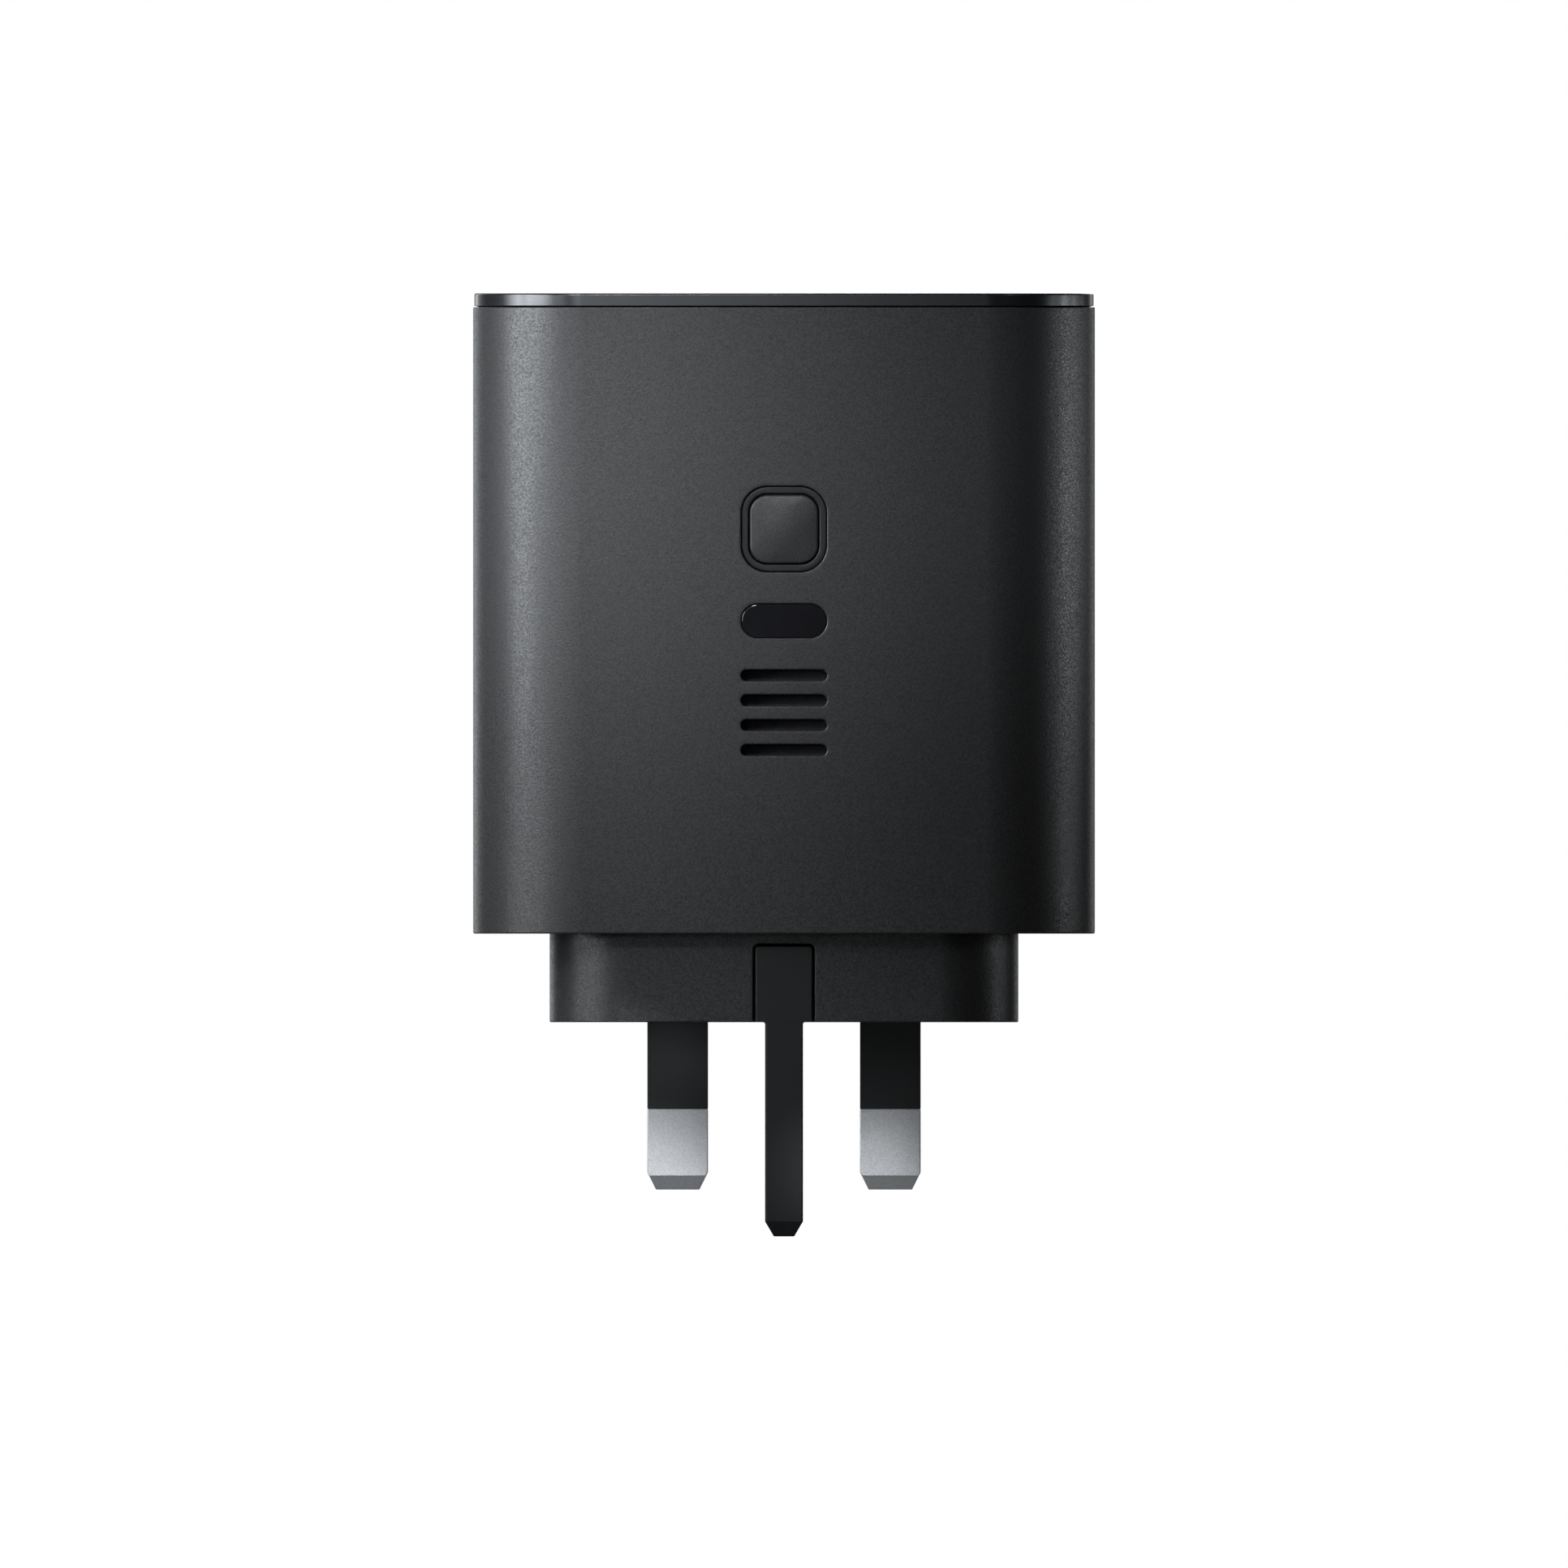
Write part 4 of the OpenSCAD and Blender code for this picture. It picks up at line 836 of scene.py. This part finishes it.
def light_pill():
    """Smoked light window: a gloss pill with a flange behind the wall."""
    skin = Skin()

    def ring(grow, y):
        """Outline of the pill, grown all round, at a depth."""
        h = WINDOW_H + 2 * grow
        return facing(rounded(COLUMN_W + 2 * grow, h, h / 2, (0, WINDOW_Z)), y)

    edge = [ring(-FIT - inset, WINDOW_FRONT + depth) for inset, depth in quarter(WINDOW_EDGE)]
    back = [(-FIT, INSIDE_FRONT), (FLANGE_W, INSIDE_FRONT), (FLANGE_W, INSIDE_FRONT + FLANGE_T)]
    skin.tower(edge + [ring(grow, y) for grow, y in back])
    skin.piece("light_pill", "window_plastic", "housing", "light_window")


def base_outline(inset):
    """Underside of the plug base: a rounded rectangle with the earth pin's pocket cut into its front."""
    outline = rounded(BASE_W - 2 * inset, BASE_D - 2 * inset, BASE_R - inset)
    side, back = POCKET_SIDE + inset, EARTH_BACK + inset
    corner = (POCKET_SIDE + BASE_EDGE, BASE_FRONT + BASE_EDGE)
    left = arc((-corner[0], corner[1]), BASE_EDGE - inset, -90, 0, FILLET_STEPS)
    right = arc(corner, BASE_EDGE - inset, 180, 270, FILLET_STEPS)
    return outline[:1] + left + [(-side, back), (side, back)] + right + outline[1:]


def pocket_arch(gap):
    """Upper end of the earth pin's pocket, from its left side over the top to its right side."""
    left = (POCKET_R - POCKET_SIDE, POCKET_TOP - POCKET_R)
    right = (POCKET_SIDE - POCKET_R, POCKET_TOP - POCKET_R)
    r = POCKET_R + gap
    return arc(left, r, 180, 90, SMALL_STEPS) + arc(right, r, 90, 0, SMALL_STEPS)


def plug_foot():
    """Plug base: the part that meets the wall socket, with the plate that closes the case above it."""
    skin = Skin()
    spring = POCKET_TOP - POCKET_R
    plain = rounded(BASE_W, BASE_D, BASE_R)
    foot = [level(base_outline(inset), rise) for inset, rise in quarter(BASE_EDGE)]
    skin.bands(foot + [level(base_outline(0), spring)])
    skin.band(level(plain, spring), level(plain, Z_BODY), skip=(0,))

    arches = [facing(pocket_arch(gap), BASE_FRONT + depth) for gap, depth in quarter(BASE_EDGE)]
    pocket_end = facing(pocket_arch(0), EARTH_BACK)
    skin.bands(arches + [pocket_end], closed=False)
    skin.face(pocket_end)
    low, high = level(plain[:2], spring), level(plain[:2], Z_BODY)
    skin.face([low[0]] + arches[0] + [low[1], high[1], high[0]])

    hole_w, hole_t = PIN_W + 2 * PIN_CLEAR, PIN_T + 2 * PIN_CLEAR
    pins = [rounded(hole_w, hole_t, PIN_R, (x, PIN_Y), SMALL_STEPS) for x in (-PIN_X, PIN_X)]
    skin.sheet(foot[0], *[level(pin, 0) for pin in pins])
    for pin in pins:
        skin.band(level(pin, 0), level(pin, PIN_WALL))

    def closure(inset, z):
        """Outline of the closing plate at a height."""
        w, d = 2 * (CLOSURE_SIDE - inset), 2 * (CLOSURE_BACK - inset)
        return level(rounded(w, d, CLOSURE_R - inset), z)

    screws = four_corners(SCREW_X, SCREW_Y)
    posts = four_corners(BOARD_POST_X, BOARD_POST_Y)
    rim = [closure(inset, Z_BODY + rise) for inset, rise in quarter(BASE_EDGE)]
    skin.bands(rim + [closure(0, CLOSURE_TOP)])
    skin.sheet(rim[0], level(plain, Z_BODY), *[level(circle(SCREW_SEAT_R, at), Z_BODY) for at in screws])
    for at in screws:
        seat = [(SCREW_SEAT_R, Z_BODY), (SCREW_SEAT_R, Z_BODY + SCREW_SEAT_H)]
        bore = [(SCREW_BORE, Z_BODY + SCREW_SEAT_H), (SCREW_BORE, CLOSURE_TOP)]
        skin.bands([level(circle(r, at), z) for r, z in seat + bore])

    hollow = rounded(BASE_W - 2 * BASE_WALL, BASE_D - 2 * BASE_WALL, BASE_R - BASE_WALL)
    box_x, box_front, box_back = POCKET_SIDE + POCKET_WALL, hollow[0][1], EARTH_BACK + POCKET_WALL
    pocket_box = [(-box_x, box_front), (-box_x, box_back), (box_x, box_back), (box_x, box_front)]
    hollow = hollow[:1] + pocket_box + hollow[1:]
    holes = [hollow] + [circle(SCREW_BORE, at) for at in screws] + [circle(POST_R, at) for at in posts]
    skin.sheet(closure(0, CLOSURE_TOP), *[level(hole, CLOSURE_TOP) for hole in holes])
    skin.band(level(hollow, CLOSURE_TOP), level(hollow, PIN_WALL))
    retainer_posts = [(sx * RETAINER_POST_X, PIN_Y) for sx in (-1, 1)]
    floor_holes = pins + [circle(POST_R, at) for at in retainer_posts]
    skin.sheet(level(hollow, PIN_WALL), *[level(hole, PIN_WALL) for hole in floor_holes])
    for at in posts:
        skin.post(at, POST_R, POST_BORE, CLOSURE_TOP, Z_BOARD, POST_DEPTH)
    for at in retainer_posts:
        skin.post(at, POST_R, POST_BORE, PIN_WALL, PIN_HEAD_TOP, POST_DEPTH)
    skin.piece("plug_foot", "base_plastic", "housing", "plug_base")


def taper(w, d, r, z_tip, lengths, inset, at):
    """Rings of a blade's tip: side and front tapers, each from its own height, and a small round end."""

    def narrowed(length, rise):
        """How far a taper of that length has drawn in at a height over the tip."""
        return inset * max(0, 1 - rise / length)

    rings = []
    for rise in sorted({*lengths, TAPER_ROUND}, reverse=True):
        w_in, d_in = [narrowed(length, rise) for length in lengths]
        rings.append(level(rounded(w - 2 * w_in, d - 2 * d_in, r, at, SMALL_STEPS), z_tip + rise))
    end = inset + TAPER_ROUND
    rings.append(level(rounded(w - 2 * end, d - 2 * end, r, at, SMALL_STEPS), z_tip))
    return rings


def line_pin(name, side, node, sleeve_node):
    """Line pin in one piece from its tail to its tip, and the sleeve over its upper part."""
    at = (side * PIN_X, PIN_Y)

    def ring(w, d, z):
        """Outline of the pin or of its sleeve at a height."""
        return level(rounded(w, d, PIN_R, at, SMALL_STEPS), z)

    core_w, core_t = PIN_W - 2 * SLEEVE_WALL, PIN_T - 2 * SLEEVE_WALL
    head_w, head_d = PIN_HEAD_HIGH - PIN_HEAD_LOW, PIN_HEAD_BACK - PIN_HEAD_FRONT
    steps = [
        (TAIL_W, TAIL_T, TAIL_TOP), (TAIL_W, TAIL_T, PIN_HEAD_TOP),
        (head_w, head_d, PIN_HEAD_TOP), (head_w, head_d, PIN_WALL),
        (core_w, core_t, PIN_WALL), (core_w, core_t, SLEEVE_END),
        (PIN_W - 2 * SLEEVE_LIP, PIN_T - 2 * SLEEVE_LIP, SLEEVE_END),
        (PIN_W, PIN_T, SLEEVE_END - SLEEVE_LIP),
    ]
    rings = [ring(w, d, z) for w, d, z in steps]
    skin = Skin()
    tapers = (PIN_TAPER_SIDE_L, PIN_TAPER_FRONT_L)
    skin.tower(rings + taper(PIN_W, PIN_T, PIN_R, PIN_TIP, tapers, PIN_TAPER_IN, at))
    skin.piece(name, "pin_metal", "housing", node)

    walls = [
        (0, PIN_WALL), (0, SLEEVE_END + SLEEVE_LIP), (SLEEVE_LIP, SLEEVE_END),
        (SLEEVE_BORE_IN, SLEEVE_END), (SLEEVE_BORE_IN, PIN_WALL),
    ]
    sleeve = Skin()
    sleeve.tube([ring(PIN_W - 2 * inset, PIN_T - 2 * inset, z) for inset, z in walls])
    sleeve.piece(name + "_cover", "sleeve_plastic", "housing", sleeve_node)


def earth_blade():
    """Moulded earth pin: an arched root in the base's pocket and a tapered blade below it."""
    skin = Skin()
    spring = ROOT_TOP - ROOT_R

    def root(inset, y):
        """Arched front view of the root from its lower left corner to its lower right one."""
        left = arc((ROOT_R - ROOT_SIDE, spring), ROOT_R - inset, 180, 90, SMALL_STEPS)
        right = arc((ROOT_SIDE - ROOT_R, spring), ROOT_R - inset, 90, 0, SMALL_STEPS)
        return facing([(inset - ROOT_SIDE, 0)] + left + right + [(ROOT_SIDE - inset, 0)], y)

    def blade(w, z):
        """Outline of the blade at a height."""
        return level(rounded(w, depth, EARTH_R, (0, middle), SMALL_STEPS), z)

    depth, middle = EARTH_BACK - EARTH_FRONT, (EARTH_FRONT + EARTH_BACK) / 2
    rounds = [root(inset, EARTH_FRONT + back) for inset, back in quarter(EARTH_EDGE)]
    rear = root(0, EARTH_BACK)
    skin.bands(rounds + [rear], closed=False)
    flare = [blade(EARTH_W + 2 * grow, -drop) for grow, drop in quarter(EARTH_FLARE)]
    tapers = (EARTH_TAPER_SIDE_L, EARTH_TAPER_FRONT_L)
    tip = taper(EARTH_W, depth, EARTH_R, EARTH_TIP, tapers, EARTH_TAPER_IN, (0, middle))
    skin.bands(flare + tip)
    skin.face(tip[-1])

    neck = flare[0]
    half = len(neck) // 2
    right_side, left_side = neck[1:half + 1], neck[half + 1:] + neck[:1]
    skin.face(rounds[0] + [neck[1], neck[0]])
    skin.face(rear + [neck[half], neck[half + 1]])
    skin.face([line[-1] for line in reversed(rounds)] + right_side + [rear[-1]])
    skin.face([line[0] for line in rounds] + [rear[0]] + left_side)
    skin.piece("earth_blade", "earth_plastic", "housing", "earth_pin")


def contact_strips(name, pads, at, tip, sides):
    """Gold contacts on a tongue: thin strips with sloped ends, side by side."""
    count, pitch, width, length = pads
    skin = Skin()
    for side in sides:
        for i in range(count):
            x = at[0] + (i - (count - 1) / 2) * pitch
            rise = [(tip - length, 0), (tip - length, PAD_T), (tip - 2 * PAD_T, PAD_T), (tip, 0)]
            out = math.copysign(1, side - at[1])
            left = [(x - width / 2, side + out * h, z) for z, h in rise]
            right = [(x + width / 2, side + out * h, z) for z, h in rise]
            skin.tower([left, right])
    skin.piece(name, "socket_steel", "housing", finish=GOLD)


def socket_shell(name, node, radius):
    """Drawn steel shell of a socket, with a rounded lip."""
    w, d, at, foot, mouth = plan(node)
    lip = SOCKET_SHEET / 2
    over = [(inset, mouth - drop) for inset, drop in reversed(quarter(lip))]
    inside = [(SOCKET_SHEET - inset, mouth - drop) for inset, drop in quarter(lip)]
    walls = [(0, foot)] + over + inside + [(SOCKET_SHEET, foot)]
    skin = Skin()
    skin.tube([level(rounded(w - 2 * i, d - 2 * i, radius(d) - i, at), z) for i, z in walls])
    skin.piece(name, "socket_steel", "housing", node)


def socket_tongue(name, node, slot, block_r, tongue):
    """Moulding in a socket: the block that closes its back, and the tongue that carries the contacts."""
    w, d, (x, y), foot, tip = plan(node)
    tongue_w, tongue_t, tongue_y, back_l = tongue
    r = tongue_t / 4
    block = [level(rounded(w, d, block_r(d), (x, y)), z) for z in (foot, foot + back_l)]
    edge = [(inset, tip - drop) for inset, drop in reversed(quarter(r))]
    blade = [(0, foot + back_l)] + edge
    at = (x, y + tongue_y)
    outlines = [rounded(tongue_w - 2 * i, tongue_t - 2 * i, max(r - i, r / 4), at) for i, _ in blade]
    skin = Skin()
    skin.tower(block + [level(outline, z) for outline, (_, z) in zip(outlines, blade)])
    skin.piece(name, slot, "housing", node)
    return at, tip - PAD_FROM_TIP


def top_sockets():
    """Two flat oval sockets and one rectangular socket in the top."""

    def round_ends(d):
        """Corner radius of an oval."""
        return d / 2

    oval_pads = (OVAL_PADS, OVAL_PAD_PITCH, OVAL_PAD_W, OVAL_PAD_L)
    oval_tongue = (OVAL_TONGUE_W, OVAL_TONGUE_T, 0, OVAL_BACK_L)
    for i in (1, 2):
        socket_shell(f"oval_socket_{i}", f"usb_c_shell_{i}", round_ends)
        node = f"usb_c_tongue_{i}"
        at, tip = socket_tongue(f"oval_tongue_{i}", node, "tongue_plastic", round_ends, oval_tongue)
        sides = [at[1] + sy * OVAL_TONGUE_T / 2 for sy in (-1, 1)]
        contact_strips(f"oval_contacts_{i}", oval_pads, at, tip, sides)

    wide_pads = (RECT_PADS, RECT_PAD_PITCH, RECT_PAD_W, RECT_PAD_L)
    wide_tongue = (RECT_TONGUE_W, RECT_TONGUE_T, RECT_TONGUE_Y, RECT_BACK_L)
    socket_shell("wide_socket", "usb_a_shell", lambda d: 2 * SOCKET_SHEET)
    node = "usb_a_tongue"
    at, tip = socket_tongue("wide_tongue", node, "white_plastic", lambda d: SOCKET_SHEET, wide_tongue)
    contact_strips("wide_contacts", wide_pads, at, tip, [at[1] - RECT_TONGUE_T / 2])


def dress_frame():
    """Gives every node of the frame the finish of its own material."""
    for part in frame["record"]["subparts"]:
        for slot in frame["nodes"][part["node"]].material_slots:
            slot.material = FINISHES[part["material_slot"]]


# Studio, with the scale of the photograph and its row at height 0
PHOTO_PX = 1932
PX_PER_MM = 11.786
ZERO_ROW_PX = 1259.5
VIEW_Z = (ZERO_ROW_PX - PHOTO_PX / 2) / PX_PER_MM
LIGHT_COLOUR = (0.935, 0.966, 1)
SPOT_R = 25

# In metres, unlike the other lengths
CAMERA_AWAY = 0.5
FLOOR_Z = -0.09
FLOOR_HALF = 1.5


def camera():
    """Flat view straight from the front: the photograph shows no perspective."""
    data = bpy.data.cameras.new("camera")
    data.type = "ORTHO"
    data.ortho_scale = PHOTO_PX / PX_PER_MM * MM
    made = bpy.data.objects.new("camera", data)
    made.location = (0, -CAMERA_AWAY, VIEW_Z * MM)
    made.rotation_euler = (math.pi / 2, 0, 0)
    bpy.context.scene.collection.objects.link(made)
    bpy.context.scene.camera = made


def hang(name, data, place, aim, power):
    """Puts a light at a place in millimetres and turns it to its aim. The camera doesn't see it."""
    data.energy = power
    data.color = LIGHT_COLOUR
    made = bpy.data.objects.new(name, data)
    made.location = Vector(place) * MM
    made.rotation_euler = (Vector(place) - Vector(aim)).to_track_quat("Z", "Y").to_euler()
    made.visible_camera = False
    bpy.context.scene.collection.objects.link(made)


def panel(name, place, aim, size, power):
    """Soft rectangular light."""
    data = bpy.data.lights.new(name, "AREA")
    data.shape = "RECTANGLE"
    data.size, data.size_y = [side * MM for side in size]
    hang(name, data, place, aim, power)


def spot(name, place, aim, cone, power, radius=SPOT_R):
    """Soft-edged spotlight with its whole cone angle in degrees."""
    data = bpy.data.lights.new(name, "SPOT")
    data.spot_size = math.radians(cone)
    data.spot_blend = 1
    data.shadow_soft_size = radius * MM
    hang(name, data, place, aim, power)


def lights():
    """Dark-field studio: a card and strips behind, soft panels at the left, spots for the rest.

    The spots at the right edge stand lower than the gloss top, so that it doesn't mirror them.
    """
    strip, near, slim = (60, 220), (40, 40), 22
    upper, centre, left_round = (0, 0, 60), (0, 0, 42), (-21, -10, 42)
    left_edge, right_edge, right_top = (-30, -18, 50), (29, -12, 66), (29, -12, 72)
    foot_edge, foot_low = (-14, -10, 4), (-14, -10, -4)
    panel("back_card", (0, 450, 400), upper, (800, 400), 0.5)
    panel("left_rear_strip", (-150, 260, 60), upper, strip, 0.093)
    panel("left_back_strip", (-212, 212, 60), upper, strip, 0.018)
    panel("right_back_strip", (150, 260, 60), upper, strip, 0.0416)
    panel("left_box", (-162, -151, 100), left_round, (90, 60), 0.166)
    panel("left_wing", (-147, -44, 90), left_round, (40, 60), 0.051)
    panel("left_near", (-100, -50, 100), centre, near, 0.0434)
    panel("left_mid", (-100, -80, 90), centre, near, 0.025)
    spot("high_spot", (-60, -300, 200), (-30, -20, 60), 14, 4.8, 32)
    spot("front_spot", (-150, -300, 80), (-35, -20, 50), 15, 0.2955)
    spot("right_spot", (170, -300, 200), (24, -18, 66), 10, 0.45)
    spot("right_front", (290, -78, 52), right_edge, 30, 0.1023, slim)
    spot("right_side", (300, 0, 52), right_edge, 30, 0.2572, slim)
    spot("right_rear", (290, 78, 52), right_edge, 30, 0.1304, slim)
    spot("right_rear_top", (290, 78, 52), right_top, 18, 0.0964, slim)
    spot("right_back_top", (260, 150, 52), right_top, 18, 0.0438, slim)
    spot("foot_right", (300, 0, 0), (22, -10, -3), 6, 0.45)
    spot("foot_right_rear", (290, 78, 0), (22, -6, -6), 8, 0.125)
    spot("top_sheen", (-60, -450, 80), (-60, 0, 80), 24, 0.477, 45)
    spot("rear_spot", (40, 420, 140), (10, 20, 50), 22, 1.4, 60)
    spot("corner_front", (-229, -130, 55), left_edge, 12, 0.721)
    spot("corner_side", (-246, -92, 55), left_edge, 12, 0.76)
    spot("foot_spot", (-260, -150, 0), foot_low, 8, 0.534)
    spot("foot_side", (-290, -78, 0), foot_low, 8, 0.803)
    spot("foot_high", (-260, -150, 40), foot_edge, 10, 0.343)
    spot("foot_front", (-212, -212, 40), foot_edge, 10, 0.571)
    spot("pin_wash", (-20, -450, -25), (0, 5, -22), 10, 0.327)
    for name, side, power in (("pin_pool_left", -1, 0.054), ("pin_pool_right", 1, 0.05)):
        x = side * PIN_X
        spot(name, (x - 12, -90, -8), (x - 3.5, SLEEVE_FRONT, -18), 12, power, 3)
    spot("sleeve_pool", (-PIN_X - 20, -110, -1), (-PIN_X - 1, SLEEVE_FRONT, -3.6), 6, 0.06, 3)


def studio():
    """White surround for the camera, dim fill for the object, and a pale floor below the picture."""
    scene = bpy.context.scene
    scene.view_settings.view_transform = "Standard"
    world = bpy.data.worlds.new("studio")
    world.use_nodes = True
    scene.world = world
    tree = world.node_tree
    fill = tree.nodes["Background"]
    fill.inputs["Color"].default_value = DIM_FILL
    white = tree.nodes.new("ShaderNodeBackground")
    white.inputs["Color"].default_value = WHITE
    seen = tree.nodes.new("ShaderNodeLightPath")
    choice = tree.nodes.new("ShaderNodeMixShader")
    tree.links.new(seen.outputs["Is Camera Ray"], choice.inputs[0])
    tree.links.new(fill.outputs[0], choice.inputs[1])
    tree.links.new(white.outputs[0], choice.inputs[2])
    tree.links.new(choice.outputs[0], tree.nodes["World Output"].inputs["Surface"])

    mesh = bpy.data.meshes.new("floor")
    corners = [(-1, -1), (1, -1), (1, 1), (-1, 1)]
    mesh.from_pydata([(x * FLOOR_HALF, y * FLOOR_HALF, FLOOR_Z) for x, y in corners], [], [(0, 1, 2, 3)])
    mesh.materials.append(pale_sweep("pale_floor"))
    floor = bpy.data.objects.new("floor", mesh)
    scene.collection.objects.link(floor)


camera()
body_case()
gloss_top()
key_ring()
push_key()
light_pill()
plug_foot()
line_pin("live_blade", -1, "live_pin", "live_pin_sleeve")
line_pin("neutral_blade", 1, "neutral_pin", "neutral_pin_sleeve")
earth_blade()
top_sockets()
dress_frame()
studio()
lights()
